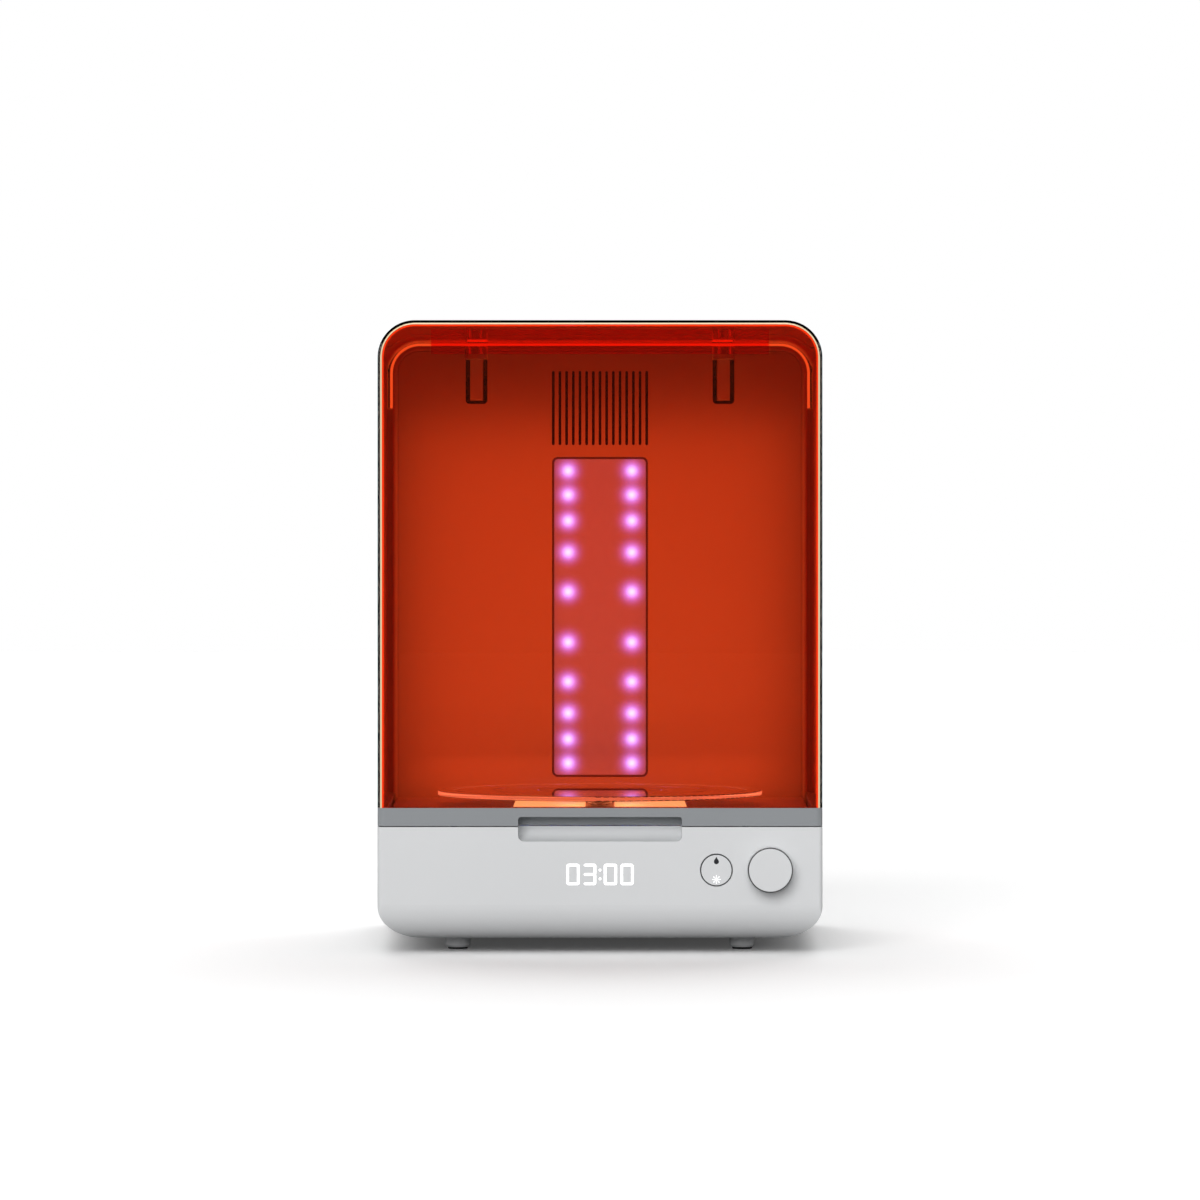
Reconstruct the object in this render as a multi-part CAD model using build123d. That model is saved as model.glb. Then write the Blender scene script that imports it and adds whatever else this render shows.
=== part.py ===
from build123d import *
import os
from math import cos, radians, sin

os.makedirs("parts", exist_ok=True)

# ---------------------------------------------------------------- driving sizes, in millimetres
# Whole unit. X runs to the right, Y to the rear and Z up; the origin is under the middle.
WIDTH_FRONT = 265.0  # across the front face
WIDTH_REAR = 276.0  # across the rear face: the plan widens evenly towards the rear
BODY_DEPTH = 270.0  # front face to rear face
KNOB_REACH = 12.0  # how far the knob stands in front of the front face
HEIGHT = 378.0  # feet to the top of the hood
HOUSING_DEPTH = 40.0  # rear housing, front to rear
FOOT_HEIGHT = 8.7
BASE_HEIGHT = 67.3

# Clearances
FIT = 0.05  # pins, shafts and tongues in their bores and grooves
PANEL_GAP = 0.3  # between covers that lie side by side
OVER = 1.0  # how far a cutting tool runs past the faces it opens
HOOD_GAP = 1.0  # hood's rear edge to the rear housing

# Base cover
BASE_WALL = 2.8
BASE_CORNER_ACROSS = 28.0  # lower side corners are quarter ellipses
BASE_CORNER_UP = 20.0
BASE_FRONT_ROUND = 21.0
BASE_REAR_ROUND = 12.0
FRONT_EDGE = 2.5
REAR_EDGE = 8.0
SCOOP_WIDTH = 97.6
SCOOP_DEPTH = 14.0
SCOOP_HEIGHT = 8.6
SCOOP_ROUND = 3.3
BOSS = 9.0
BOSS_TO_SIDE = 38.5
BOSS_TO_FRONT = 32.0
BOSS_TO_REAR = 29.0
DECK_OPENING_TO_SIDE = 46.5
DECK_OPENING_TO_FRONT = 39.0
DECK_OPENING_TO_WALL = 13.6
CABLE_SLOT = (70.0, 20.0)
CABLE_SLOT_ROUND = 4.0

# Bottom plate and feet
PLATE_THICK = 2.5
PLATE_TO_SIDE = 32.5
PLATE_TO_FRONT = 25.0
PLATE_TO_REAR = 17.0
PLATE_ROUND = 8.0
AIR_SLOT = (40.0, 3.0)
AIR_SLOT_PITCH = 8.0
AIR_SLOT_ROWS = 7
FOOT_TO_PLATE_SIDE = 14.0
FOOT_TO_PLATE_END = 26.0
FOOT = 15.4
FOOT_BEVEL = 1.2
FOOT_SPIGOT = 8.0
PAD = 12.0
PAD_SHOW = 1.3  # how far the rubber stands out of the foot
PAD_DEEP = 1.6

# Hood and its rail
HOOD_WALL = 3.0
HOOD_CORNER = 22.0
HOOD_EDGE = 4.0
HOOD_DROP = 1.0  # the hood's top is this much lower at its rear edge
RAIL_GAP = 0.6  # rail to deck, bridged by the bumpers
RAIL_HEIGHT = 10.7
RAIL_DEPTH = 18.0
RAIL_SKIN = 1.0
RAIL_TONGUE = 2.8
RAIL_GROOVE = 3.7
NOTCH_HEIGHT = 5.4
NOTCH_ROUND = 1.8
BUMPER = 4.4
BUMPER_DEEP = 1.2
BUMPER_FRONT_X = 87.0
MAGNET = 6.0
MAGNET_THICK = 3.0
MAGNET_X = 62.0
BAR_WIDTH = 214.4
BAR_DEPTH = 8.0
BAR_TO_WALL = 9.6
BAR_DROP = 7.8

# Rear housing and back wall
NECK_GAP = 1.8  # hood's inside to the housing's neck
NECK_LEAD = 6.4  # how far the neck reaches into the hood
NECK_EDGE = 2.6
NECK_REAR_ROUND = 12.0
SHOULDER_DROP = 45.3  # housing's full width ends this far below the hood's top
SHOULDER_EDGE = 1.5
HOUSING_WALL = 3.2
HOUSING_SCREW_OUTER_X = 100.0
HOUSING_SCREW_INNER_X = 54.0
WALL_THICK = 2.8
WALL_BOSS = 8.0
WALL_BOSS_TO_SIDE = 26.0
WALL_BOSS_INNER_X = 54.0
WALL_BOSS_RISE = 26.0
WALL_BOSS_DROP = 60.0
WALL_BOSS_INNER_DROP = 92.0
VENT_COUNT = 15
VENT_PITCH = 4.26
VENT_SLOT = 1.75
VENT_DROP = 45.4
VENT_HEIGHT = 47.4
LOUVRE_COUNT = 9
LOUVRE_PITCH = 5.2
LOUVRE_SLOT = (58.0, 2.6)
LOUVRE_DROP = 56.0
LOWER_LOUVRE_DROP = 238.75
SCREW_SKIN = 0.8
HOUSING_BOSS_HEIGHT = 16.0
GUSSET = (2.0, 14.0)

# Hinge
ARM_SPACING = 157.6
ARM_THICK = 8.1
ARM_HEAD = 13.3
ARM_STRIP = 8.5
ARM_BEVEL = 6.0
ARM_ROUND = 1.2
ARM_SET_BACK = 0.4
ARM_BOTTOM_DROP = 40.7
ARM_FOOT = 2.7
ARM_BOSS = 8.0
SLOT_WIDTH = 13.9
SLOT_BOTTOM_DROP = 42.8
SLOT_ROUND = 2.5
SLOT_REAR_DROP = 13.0
HINGE_BACK = 28.4  # hinge axis behind the back wall's face
HINGE_DROP = 32.0  # hinge axis below the hood's top
PIN = 6.0
PIN_HEAD = (9.0, 1.2)
BUSH_WALL = 1.0
BUSH_FLANGE = (12.0, 0.3)
CHEEK = 2.0
BRACKET_WIDTH = 36.0
BRACKET_BELOW = 22.0
CLIP = (10.0, 0.8)

# Lamps
WINDOW_WIDTH = 61.2
WINDOW_RISE = 21.1
WINDOW_DROP = 76.6
WINDOW_ROUND = 3.8
WINDOW_LAP = 3.4
WINDOW_THICK = 2.0
SEAL_THICK = 0.5
LAMP_COLUMN_X = 20.3
LAMP_TO_WINDOW_END = 8.85
LAMP_STEPS = [15.3, 16.6, 20.1, 25.2, 32.2, 25.2, 20.1, 16.6, 15.3]  # how the steps compare
LAMP_SIZE = 3.6
LAMP_HEIGHT = 1.5
BOARD_THICK = 1.6
LAMP_BOARD_WIDTH = 60.0
LAMP_GAP = 2.0  # window pane to lamps
SINK_WIDTH = 84.0
SINK_PLATE = 3.0
SINK_FINS = 11
FIN_THICK = 1.4
FIN_HEIGHT = 17.0
SINK_BOSS_X = 38.5
SINK_BOSS = 6.0
SINK_BOSS_TO_WINDOW_END = 12.0
LAMP_TAPER = 20.0

# Fan, heater and duct
FAN_SIZE = 60.0
FAN_DEPTH = 15.0
FAN_BORE = 56.0
FAN_HUB = 26.0
FAN_BLADES = 7
BLADE_THICK = 1.2
BLADE_PITCH = 38.0
BLADE_TWIST = 14.0
BLADE_GAP = 1.0
BLADE_INSET = 0.3
BLADE_ROOT_DEPTH = 0.8
FAN_SHAFT = 3.0
FAN_SHAFT_SET_BACK = 0.5
FAN_ROTOR_SET = 1.5
FAN_ROTOR_DEPTH = 10.0
FAN_CUP_WALL = 1.2
FAN_CUP_SKIN = 1.4
FAN_CORNER = 3.0
FAN_SCREW_INSET = 5.0
FAN_STRUT = (3.0, 2.0)
FAN_PLATE = 22.0
FAN_POST_SET = 4.0
DUCT_MOUTH = (66.0, 54.0)
DUCT_DEPTH = 14.0
DUCT_WALL = 1.8
DUCT_BOSS = 7.0
DUCT_BOSS_LENGTH = 4.4
HEATER_WIDTH = 56.0
HEATER_DEPTH = 7.0
HEATER_SET = 2.0
HEATER_FINS = 13
HEATER_FIN = 0.8
HEATER_RAIL = 4.0

# Chamber floor and its lamps
FLOOR_RISE = 8.4
FLOOR_SHEET = 2.0
FLOOR_SIDE_GAP = 1.2
FLOOR_FRONT_GAP = 6.0
FLOOR_EDGE = 1.5
FLOOR_CORNER = 6.0
PANE_INNER_X = 9.0
PANE_TO_POST = 8.0
PANE_LENGTH = 112.0
PANE_THICK = 1.4
PANE_LEDGE = 2.0
PANE_ROUND = 4.0
POST = 7.0
POST_LENGTH = 12.0
POST_TO_BOARD_EDGE = 7.0
FLOOR_BOARD_TO_RISER = 3.0
FLOOR_BOARD_LENGTH = 114.0
FLOOR_LAMP_ROWS = 5
FLOOR_LAMP_PITCH = 22.0

# Turntable and its motor
TABLE_TO_WALL = 7.6
TABLE_BEHIND_MIDDLE = 3.7
GLASS_THICK = 3.0
GLASS_EDGE = 0.8
GLASS_LIFT = 6.1
GLASS_RINGS_TO_RIM = [10.0, 34.0, 62.0]
GLASS_RING = 0.5
HUB_FLANGE = (56.0, 2.0)
HUB_BOSS = 15.0
HUB_CLEARANCE = 1.0
SHAFT = 8.0
SHAFT_FLAT = 1.0
SHAFT_HOLE = 11.0
MOTOR = (42.0, 20.0)
MOTOR_COLLAR = (14.0, 3.0)
MOTOR_EAR_X = 27.0
MOTOR_EAR = 8.0
BRACKET_STRIP = (40.0, 2.0)
BRACKET_DROP = 9.2
RISER_TO_OPENING = 15.0
BRACKET_FLANGE = 9.0
MOTOR_FLOOR = 4.0
STRIP_SCREW_EDGE = 5.0
STRIP_SCREW_SPAN = 24.0

# Front panel: timer, button and knob
PANEL_BOARD_GAP = 12.6
PANEL_BOARD_LEFT = -36.0
PANEL_BOARD_PAST_KNOB = 16.9
PANEL_BOARD_RISE = 24.3
PANEL_BOARD_DROP = 12.0
PANEL_POST_INSET = 5.0
PANEL_POST_MIDDLE_X = 50.0
PANEL_POST = 6.0
PANEL_BOARD_ROUND = 2.0
TIMER_DROP = 28.2
TIMER_POCKET = (48.0, 18.0)
TIMER_ROUND = 1.5
TIMER_SKIN = 0.8
TIMER_BLOCK = (50.4, 19.0)
BUTTON_TO_KNOB = 31.8
BUTTON_DROP = 25.6
BUTTON = 19.05
BUTTON_PROUD = 0.4
BUTTON_FLANGE = (22.0, 1.2)
BUTTON_STEM = 5.0
BUTTON_TRAVEL = 0.5
SWITCH = (6.2, 3.5)
SWITCH_PLUNGER = (3.4, 1.5)
KNOB_TO_SIDE = 31.4
KNOB_DROP = 25.1
KNOB = 26.8
KNOB_EDGE = 1.2
KNOB_SET_OFF = 0.8
KNOB_SKIN = 2.2
KNOB_SIDE = 2.0
KNOB_BOSS = 10.0
KNOB_TRAVEL = 0.5
ENCODER = (12.4, 6.5)
ENCODER_BUSHING = (7.0, 10.0)
ENCODER_SHAFT = 6.0
ENCODER_TAIL = 4.0
ENCODER_TAIL_FLAT = 0.8
ENCODER_END_WALL = 0.5
ENCODER_TAIL_SHOW = 0.6
ENCODER_ROTOR = (9.0, 2.4)
NUT = (11.0, 2.0)

# Electrics in the base
STANDOFF = (6.0, 6.0)
BOARD_CORNER = 3.0
SOLDER_DEPTH = 0.5  # how far fittings reach into their board
CONTROL_BOARD_LENGTH = 84.0
CONNECTOR = (12.0, 7.0, 7.0)
CONNECTOR_PLACE = (12.0, 32.0)
CONNECTOR_TO_RIGHT = 20.0
CONNECTOR_COUNT = 4
RELAY = (22.0, 18.0, 12.0)
RELAY_PLACE = (32.0, -24.0)
SPREADER = (14.0, 18.0, 3.0)
SPREADER_PLACE = (8.0, -22.0)
CAPACITOR = (9.0, 13.0)
CAPACITORS_TO_RIGHT = [42.0, 28.0, 14.0]
CAPACITOR_ROW = 10.0
CONTROL_BOARD_TO_SIDE = 13.0
CONTROL_BOARD_TO_SUPPLY = 15.0
CONTROL_BOARD_BACK = 18.0
SUPPLY = (56.0, 128.0, 30.0)
SUPPLY_TO_SIDE = 12.0
SUPPLY_BACK = 30.0
SUPPLY_ROUND = 2.0
SUPPLY_SLOT_EDGE = 15.0
SUPPLY_SLOT = (3.0, 1.2)
SUPPLY_SLOT_PITCH = 9.0
SUPPLY_SLOT_ROWS = 9
INLET_TO_SIDE = 76.0
INLET_DROP = 29.0
INLET_BEZEL = (31.0, 24.0, 2.0)
INLET_BODY = (27.0, 19.6, 20.0)
INLET_MOUTH = (24.0, 16.4, 15.0)
INLET_MOUTH_CHAMFER = 4.5
INLET_BLADE = (2.0, 4.0)
INLET_BLADE_PLACES = [(-7.0, -1.5), (0.0, 2.5), (7.0, -1.5)]
INLET_BLADE_SET_BACK = 5.5
SENSOR = (9.0, 6.0, 4.0)

# Screws: head diameter and height, shank diameter, shank lengths and hole depths
SCREW_HEAD = (5.6, 1.8)
SCREW_SHANK = 3.0
SCREW_LENGTH = 11.0
SCREW_HOLE = 12.0
SMALL_HEAD = (4.2, 1.4)
SMALL_SHANK = 2.2
SMALL_LENGTH = 4.0
SMALL_GRIP = 5.0  # how far a small screw reaches past the part that it holds
SMALL_HOLE = 6.0

# ---------------------------------------------------------------- places that follow from them
FRONT_Y = (KNOB_REACH - BODY_DEPTH) / 2
REAR_Y = FRONT_Y + BODY_DEPTH
SIDE_X = WIDTH_FRONT / 2
BASE_Z = FOOT_HEIGHT
DECK_Z = BASE_Z + BASE_HEIGHT
PLATE_Z = BASE_Z + PLATE_THICK
RAIL_Z = DECK_Z + RAIL_GAP
RAIL_TOP_Z = RAIL_Z + RAIL_HEIGHT
HOOD_FOOT_Z = RAIL_TOP_Z - RAIL_GROOVE
HOUSING_Y = REAR_Y - HOUSING_DEPTH
HOOD_REAR_Y = HOUSING_Y - HOOD_GAP
HOOD_DEPTH = HOOD_REAR_Y - FRONT_Y
WALL_Y = HOOD_REAR_Y - NECK_LEAD
WALL_BACK_Y = WALL_Y + WALL_THICK
HOUSING_BACK_Y = REAR_Y - HOUSING_WALL
SHOULDER_Z = HEIGHT - SHOULDER_DROP
NECK_INSET = HOOD_WALL + NECK_GAP
NECK_Z = HEIGHT - HOOD_DROP - NECK_INSET
CEILING_Z = HEIGHT - HOOD_DROP - HOOD_WALL
HINGE_Y = WALL_Y + HINGE_BACK
HINGE_Z = HEIGHT - HINGE_DROP
ARM_X = ARM_SPACING / 2
ARM_FRONT_Y = WALL_Y + ARM_SET_BACK
ARM_TOP_Z = NECK_Z - PANEL_GAP
ARM_BOTTOM_Z = HEIGHT - ARM_BOTTOM_DROP
SLOT_BOTTOM_Z = HEIGHT - SLOT_BOTTOM_DROP
SLOT_REAR_Z = HEIGHT - SLOT_REAR_DROP
BAR_BACK_Y = WALL_Y - BAR_TO_WALL
BAR_Z = CEILING_Z - BAR_DROP
VENT_Z = HEIGHT - VENT_DROP
LOUVRE_HEIGHTS = [HEIGHT - LOUVRE_DROP, HEIGHT - LOWER_LOUVRE_DROP]
WINDOW_BOTTOM_Z = DECK_Z + WINDOW_RISE
WINDOW_TOP_Z = HEIGHT - WINDOW_DROP
WALL_BOSS_X = WIDTH_REAR / 2 - WALL_BOSS_TO_SIDE
WALL_BOSS_LOW_Z = DECK_Z + WALL_BOSS_RISE
WALL_BOSS_TOP_Z = HEIGHT - WALL_BOSS_DROP
WALL_BOSS_PLACES = [
    (WALL_BOSS_X, WALL_BOSS_LOW_Z),
    (WALL_BOSS_X, (WALL_BOSS_LOW_Z + WALL_BOSS_TOP_Z) / 2),
    (WALL_BOSS_X, WALL_BOSS_TOP_Z),
    (WALL_BOSS_INNER_X, WALL_BOSS_LOW_Z),
    (WALL_BOSS_INNER_X, HEIGHT - WALL_BOSS_INNER_DROP),
]
FLOOR_Z = DECK_Z + FLOOR_RISE
FLOOR_INSET = HOOD_WALL + RAIL_TONGUE + 2 * FIT + FLOOR_SIDE_GAP
FLOOR_FRONT_Y = FRONT_Y + RAIL_DEPTH + FLOOR_FRONT_GAP
FLOOR_REAR_Y = WALL_Y - PANEL_GAP
TABLE_Y = (FRONT_Y + WALL_Y) / 2 + TABLE_BEHIND_MIDDLE
TABLE = 2 * (WALL_Y - TABLE_Y - TABLE_TO_WALL)
GLASS_RING_RADII = [TABLE / 2 - to_rim for to_rim in GLASS_RINGS_TO_RIM]
GLASS_Z = FLOOR_Z + GLASS_LIFT
FLOOR_BOARD_Z = FLOOR_Z - FLOOR_SHEET - POST_LENGTH - BOARD_THICK
STRIP_Z = DECK_Z - BASE_WALL - BRACKET_STRIP[1] - BRACKET_DROP
MOTOR_Z = STRIP_Z - MOTOR[1]
DECK_OPENING_WIDTH = WIDTH_FRONT - 2 * DECK_OPENING_TO_SIDE
RISER_X = DECK_OPENING_WIDTH / 2 - RISER_TO_OPENING
FLOOR_BOARD_WIDTH = 2 * (RISER_X - FLOOR_BOARD_TO_RISER)
POST_X = FLOOR_BOARD_WIDTH / 2 - POST_TO_BOARD_EDGE
POST_Y = FLOOR_BOARD_LENGTH / 2 - POST_TO_BOARD_EDGE
PANE_OUTER_X = POST_X - PANE_TO_POST
STRIP_SCREW_X = DECK_OPENING_WIDTH / 2 + STRIP_SCREW_EDGE
STRIP_SCREWS = [(STRIP_SCREW_X, TABLE_Y + end * STRIP_SCREW_SPAN / 2) for end in (-1, 1)]
DECK_OPENING_FRONT = FRONT_Y + DECK_OPENING_TO_FRONT
DECK_OPENING_REAR = WALL_Y - DECK_OPENING_TO_WALL
PLATE_WIDTH = WIDTH_FRONT - 2 * PLATE_TO_SIDE
PLATE_FRONT = FRONT_Y + PLATE_TO_FRONT
PLATE_REAR = REAR_Y - PLATE_TO_REAR
FOOT_X = PLATE_WIDTH / 2 - FOOT_TO_PLATE_SIDE
FOOT_FRONT_Y = PLATE_FRONT + FOOT_TO_PLATE_END
FOOT_REAR_Y = PLATE_REAR - FOOT_TO_PLATE_END
BOSS_X = SIDE_X - BOSS_TO_SIDE
BOSS_REAR_Y = REAR_Y - BOSS_TO_REAR
BOSS_FRONT_Y = FRONT_Y + BOSS_TO_FRONT
BOSS_MIDDLE_Y = TABLE_Y + BRACKET_STRIP[0] / 2 + BOSS
BOSS_PLACES = [(BOSS_X, y) for y in (BOSS_FRONT_Y, BOSS_MIDDLE_Y, BOSS_REAR_Y)]
HOUSING_SCREW_Y = (HOUSING_Y + REAR_Y) / 2
HOUSING_SCREWS = [(HOUSING_SCREW_OUTER_X, HOUSING_SCREW_Y), (HOUSING_SCREW_INNER_X, HOUSING_SCREW_Y)]
PANE_Y = WALL_BACK_Y + SEAL_THICK
LAMP_BOARD_Y = PANE_Y + WINDOW_THICK + LAMP_GAP + LAMP_HEIGHT
SINK_Y = LAMP_BOARD_Y + BOARD_THICK
DUCT_BACK_Y = WALL_BACK_Y + DUCT_DEPTH
TIMER_Z = DECK_Z - TIMER_DROP
KNOB_X = SIDE_X - KNOB_TO_SIDE
KNOB_Z = DECK_Z - KNOB_DROP
BUTTON_X = KNOB_X - BUTTON_TO_KNOB
BUTTON_Z = DECK_Z - BUTTON_DROP
PANEL_INSIDE_Y = FRONT_Y + BASE_WALL
PANEL_BOARD_Y = PANEL_INSIDE_Y + PANEL_BOARD_GAP
PANEL_BOARD_RIGHT = KNOB_X + PANEL_BOARD_PAST_KNOB
PANEL_BOARD_BOTTOM_Z = BASE_Z + PANEL_BOARD_RISE
PANEL_BOARD_TOP_Z = DECK_Z - PANEL_BOARD_DROP
PANEL_POSTS = [
    (x, z)
    for x in (PANEL_BOARD_LEFT + PANEL_POST_INSET, PANEL_POST_MIDDLE_X, PANEL_BOARD_RIGHT - PANEL_POST_INSET)
    for z in (PANEL_BOARD_BOTTOM_Z + PANEL_POST_INSET, PANEL_BOARD_TOP_Z - PANEL_POST_INSET)
]
ENCODER_FACE_Y = PANEL_BOARD_Y - ENCODER[1]
BUSHING_Y = ENCODER_FACE_Y - ENCODER_BUSHING[1]
NUT_Y = FRONT_Y - NUT[1]
KNOB_FACE_Y = FRONT_Y - KNOB_REACH
KNOB_BACK_Y = FRONT_Y - KNOB_SET_OFF
ROTOR_Y = ENCODER_FACE_Y + (ENCODER[1] - ENCODER_ROTOR[1]) / 2
BOARD_Z = PLATE_Z + STANDOFF[1]
SUPPLY_CENTRE = (PLATE_WIDTH / 2 - SUPPLY_TO_SIDE - SUPPLY[0] / 2, TABLE_Y + SUPPLY_BACK)
CONTROL_BOARD_LEFT = CONTROL_BOARD_TO_SIDE - PLATE_WIDTH / 2
CONTROL_BOARD_RIGHT = SUPPLY_CENTRE[0] - SUPPLY[0] / 2 - CONTROL_BOARD_TO_SUPPLY
CONTROL_BOARD = (CONTROL_BOARD_RIGHT - CONTROL_BOARD_LEFT, CONTROL_BOARD_LENGTH)
CONTROL_BOARD_CENTRE = ((CONTROL_BOARD_LEFT + CONTROL_BOARD_RIGHT) / 2, TABLE_Y + CONTROL_BOARD_BACK)
INLET_X = WIDTH_REAR / 2 - INLET_TO_SIDE
INLET_Z = DECK_Z - INLET_DROP


# ---------------------------------------------------------------- shared forms
def half_width(y):
    """Half the width of the plan outline at depth y."""
    return (WIDTH_FRONT + (WIDTH_REAR - WIDTH_FRONT) * (y - FRONT_Y) / BODY_DEPTH) / 2


def facing_front(x=0.0, y=0.0, z=0.0):
    """Plane seen from the front: its own x is X, its own y is Z, and it extrudes towards -Y."""
    return Plane(origin=(x, y, z), x_dir=(1, 0, 0), z_dir=(0, -1, 0))


def facing_side(x=0.0):
    """Plane seen from the right: its own x is Y, its own y is Z, and it extrudes towards +X."""
    return Plane(origin=(x, 0, 0), x_dir=(0, 1, 0), z_dir=(1, 0, 0))


def rounded(width, height, radius):
    """Rectangle with rounded corners."""
    return RectangleRounded(width, height, radius)


def block(x, y, z):
    """Box between three pairs of limits."""
    centre = (sum(x) / 2, sum(y) / 2, sum(z) / 2)
    return Pos(*centre) * Box(abs(x[1] - x[0]), abs(y[1] - y[0]), abs(z[1] - z[0]))


def along_y(face, y_from, y_to, x=0.0, z=0.0):
    """Prism of a face drawn in front view, from depth y_from back to y_to."""
    return extrude(facing_front(x, y_to, z) * face, y_to - y_from)


def rod_y(diameter, y_from, y_to, x, z):
    """Round rod along Y."""
    return along_y(Circle(diameter / 2), y_from, y_to, x, z)


def rod_z(diameter, z_from, z_to, x, y):
    """Round rod along Z."""
    return Pos(x, y, z_from) * extrude(Circle(diameter / 2), z_to - z_from)


def rod_x(diameter, x_from, x_to, y, z):
    """Round rod along X."""
    plane = Plane(origin=(x_from, y, z), x_dir=(0, 1, 0), z_dir=(1, 0, 0))
    return extrude(plane * Circle(diameter / 2), x_to - x_from)


def both_sides(places):
    """The places and their mirror images in the middle plane."""
    return [(side * x, other) for x, other in places for side in (-1, 1)]


def together(pieces):
    """One group of separate solids."""
    return Compound(children=[solid for piece in pieces for solid in piece.solids()])


def plan_prism(inset, y_front, y_rear, bottom, top, front_radius, rear_radius):
    """Upright prism of the tapered plan outline, drawn in by inset at its sides."""
    front, rear = half_width(y_front) - inset, half_width(y_rear) - inset
    outline = Polyline((-front, y_front), (front, y_front), (rear, y_rear), (-rear, y_rear), close=True)
    face = make_face(outline)
    if front_radius > 0:
        face = fillet(face.vertices().group_by(Axis.Y)[0], front_radius)
    if rear_radius > 0:
        face = fillet(face.vertices().group_by(Axis.Y)[-1], rear_radius)
    return Pos(0, 0, bottom) * extrude(face, top - bottom)


def tub_section(y, inset):
    """Front view of the base at depth y: straight sides on quarter-ellipse corners."""
    half = half_width(y) - inset
    bottom, top = BASE_Z + inset, DECK_Z - inset
    across, up = BASE_CORNER_ACROSS - inset, BASE_CORNER_UP - inset
    edges = [
        Line((across - half, bottom), (half - across, bottom)),
        EllipticalCenterArc((half - across, bottom + up), across, up, start_angle=270, arc_size=90),
        Line((half, bottom + up), (half, top)),
        Line((half, top), (-half, top)),
        Line((-half, top), (-half, bottom + up)),
        EllipticalCenterArc((across - half, bottom + up), across, up, start_angle=180, arc_size=90),
    ]
    return facing_front(y=y) * make_face(edges)


def base_form(inset):
    """Solid form of the base, drawn in by inset on every side."""
    front, rear = FRONT_Y + inset, REAR_Y - inset
    bottom, top = BASE_Z + inset, DECK_Z - inset
    tub = loft([tub_section(y, inset) for y in (FRONT_Y - BASE_WALL, REAR_Y + BASE_WALL)], ruled=True)
    side = Pos((front + rear) / 2, (bottom + top) / 2) * Rectangle(rear - front, top - bottom)
    side = fillet(side.vertices().group_by(Axis.Y)[0].sort_by(Axis.X)[0], BASE_FRONT_ROUND - inset)
    side = fillet(side.vertices().group_by(Axis.Y)[0].sort_by(Axis.X)[-1], BASE_REAR_ROUND - inset)
    side = extrude(facing_side() * side, WIDTH_REAR, both=True)
    front_edge, rear_edge = max(FRONT_EDGE - inset, 0.5), max(REAR_EDGE - inset, 0.5)
    return tub & side & plan_prism(inset, front, rear, bottom, top, front_edge, rear_edge)


def arch_section(y, half, bottom, top, radius):
    """Front view of an upright cover at depth y: square foot and rounded upper corners."""
    face = Pos(0, (bottom + top) / 2) * Rectangle(2 * half, top - bottom)
    face = fillet(face.vertices().group_by(Axis.Y)[-1], radius)
    return facing_front(y=y) * face


def rounded_end(form, end, radius):
    """A form with its front (0) or rear (-1) edges rounded, apart from the foot."""
    edges = form.faces().sort_by(Axis.Y)[end].edges()
    foot = min(edge.center().Z for edge in edges)
    return fillet([edge for edge in edges if edge.center().Z > foot + OVER], radius)


def hood_form(inset, bottom, y_rear, front_edge):
    """Solid form of the hood, drawn in by inset, with its front edges rounded."""
    sections = []
    for y in (FRONT_Y + inset, y_rear):
        top = HEIGHT - inset - HOOD_DROP * (y - FRONT_Y) / HOOD_DEPTH
        sections.append(arch_section(y, half_width(y) - inset, bottom, top, HOOD_CORNER - inset))
    return rounded_end(loft(sections, ruled=True), 0, front_edge)


def neck_form(inset, y_front, front_edge):
    """Solid form of the rear housing's neck, which reaches into the hood's rear."""
    inward, top = NECK_INSET + inset, NECK_Z - inset
    sections = [
        arch_section(y, half_width(y) - inward, DECK_Z, top, HOOD_CORNER - inward)
        for y in (y_front, REAR_Y - inset)
    ]
    form = rounded_end(loft(sections, ruled=True), -1, NECK_REAR_ROUND - inset)
    return rounded_end(form, 0, front_edge) if front_edge > 0 else form


def screw(head, shank, length):
    """Screw that points down, with the top of its head at the origin."""
    top = Pos(0, 0, -head[1]) * extrude(Circle(head[0] / 2), head[1])
    stem = Pos(0, 0, -head[1] - length) * extrude(Circle(shank / 2), length)
    return top + stem


UP = Rot(180, 0, 0)
TO_REAR = Rot(90, 0, 0)
TO_FRONT = Rot(-90, 0, 0)


# ---------------------------------------------------------------- base
def scoop_form(grow):
    """Finger scoop in the top front edge of the base, a cove that rises to the rear."""
    depth, height = SCOOP_DEPTH + grow, SCOOP_HEIGHT + grow
    cove = [
        Line((FRONT_Y, DECK_Z - height), (FRONT_Y - BASE_WALL, DECK_Z - height)),
        Line((FRONT_Y - BASE_WALL, DECK_Z - height), (FRONT_Y - BASE_WALL, DECK_Z + BASE_WALL)),
        Line((FRONT_Y - BASE_WALL, DECK_Z + BASE_WALL), (FRONT_Y + depth, DECK_Z + BASE_WALL)),
        Line((FRONT_Y + depth, DECK_Z + BASE_WALL), (FRONT_Y + depth, DECK_Z)),
        EllipticalCenterArc((FRONT_Y, DECK_Z), depth, height, start_angle=270, arc_size=90),
    ]
    width = SCOOP_WIDTH + 2 * grow
    cove = extrude(facing_side() * make_face(cove), width, both=True)
    front = Pos(0, DECK_Z) * Rectangle(width, 2 * height)
    front = fillet(front.vertices(), SCOOP_ROUND + grow)
    return cove & along_y(front, FRONT_Y - BASE_WALL, FRONT_Y + 2 * depth)


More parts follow.
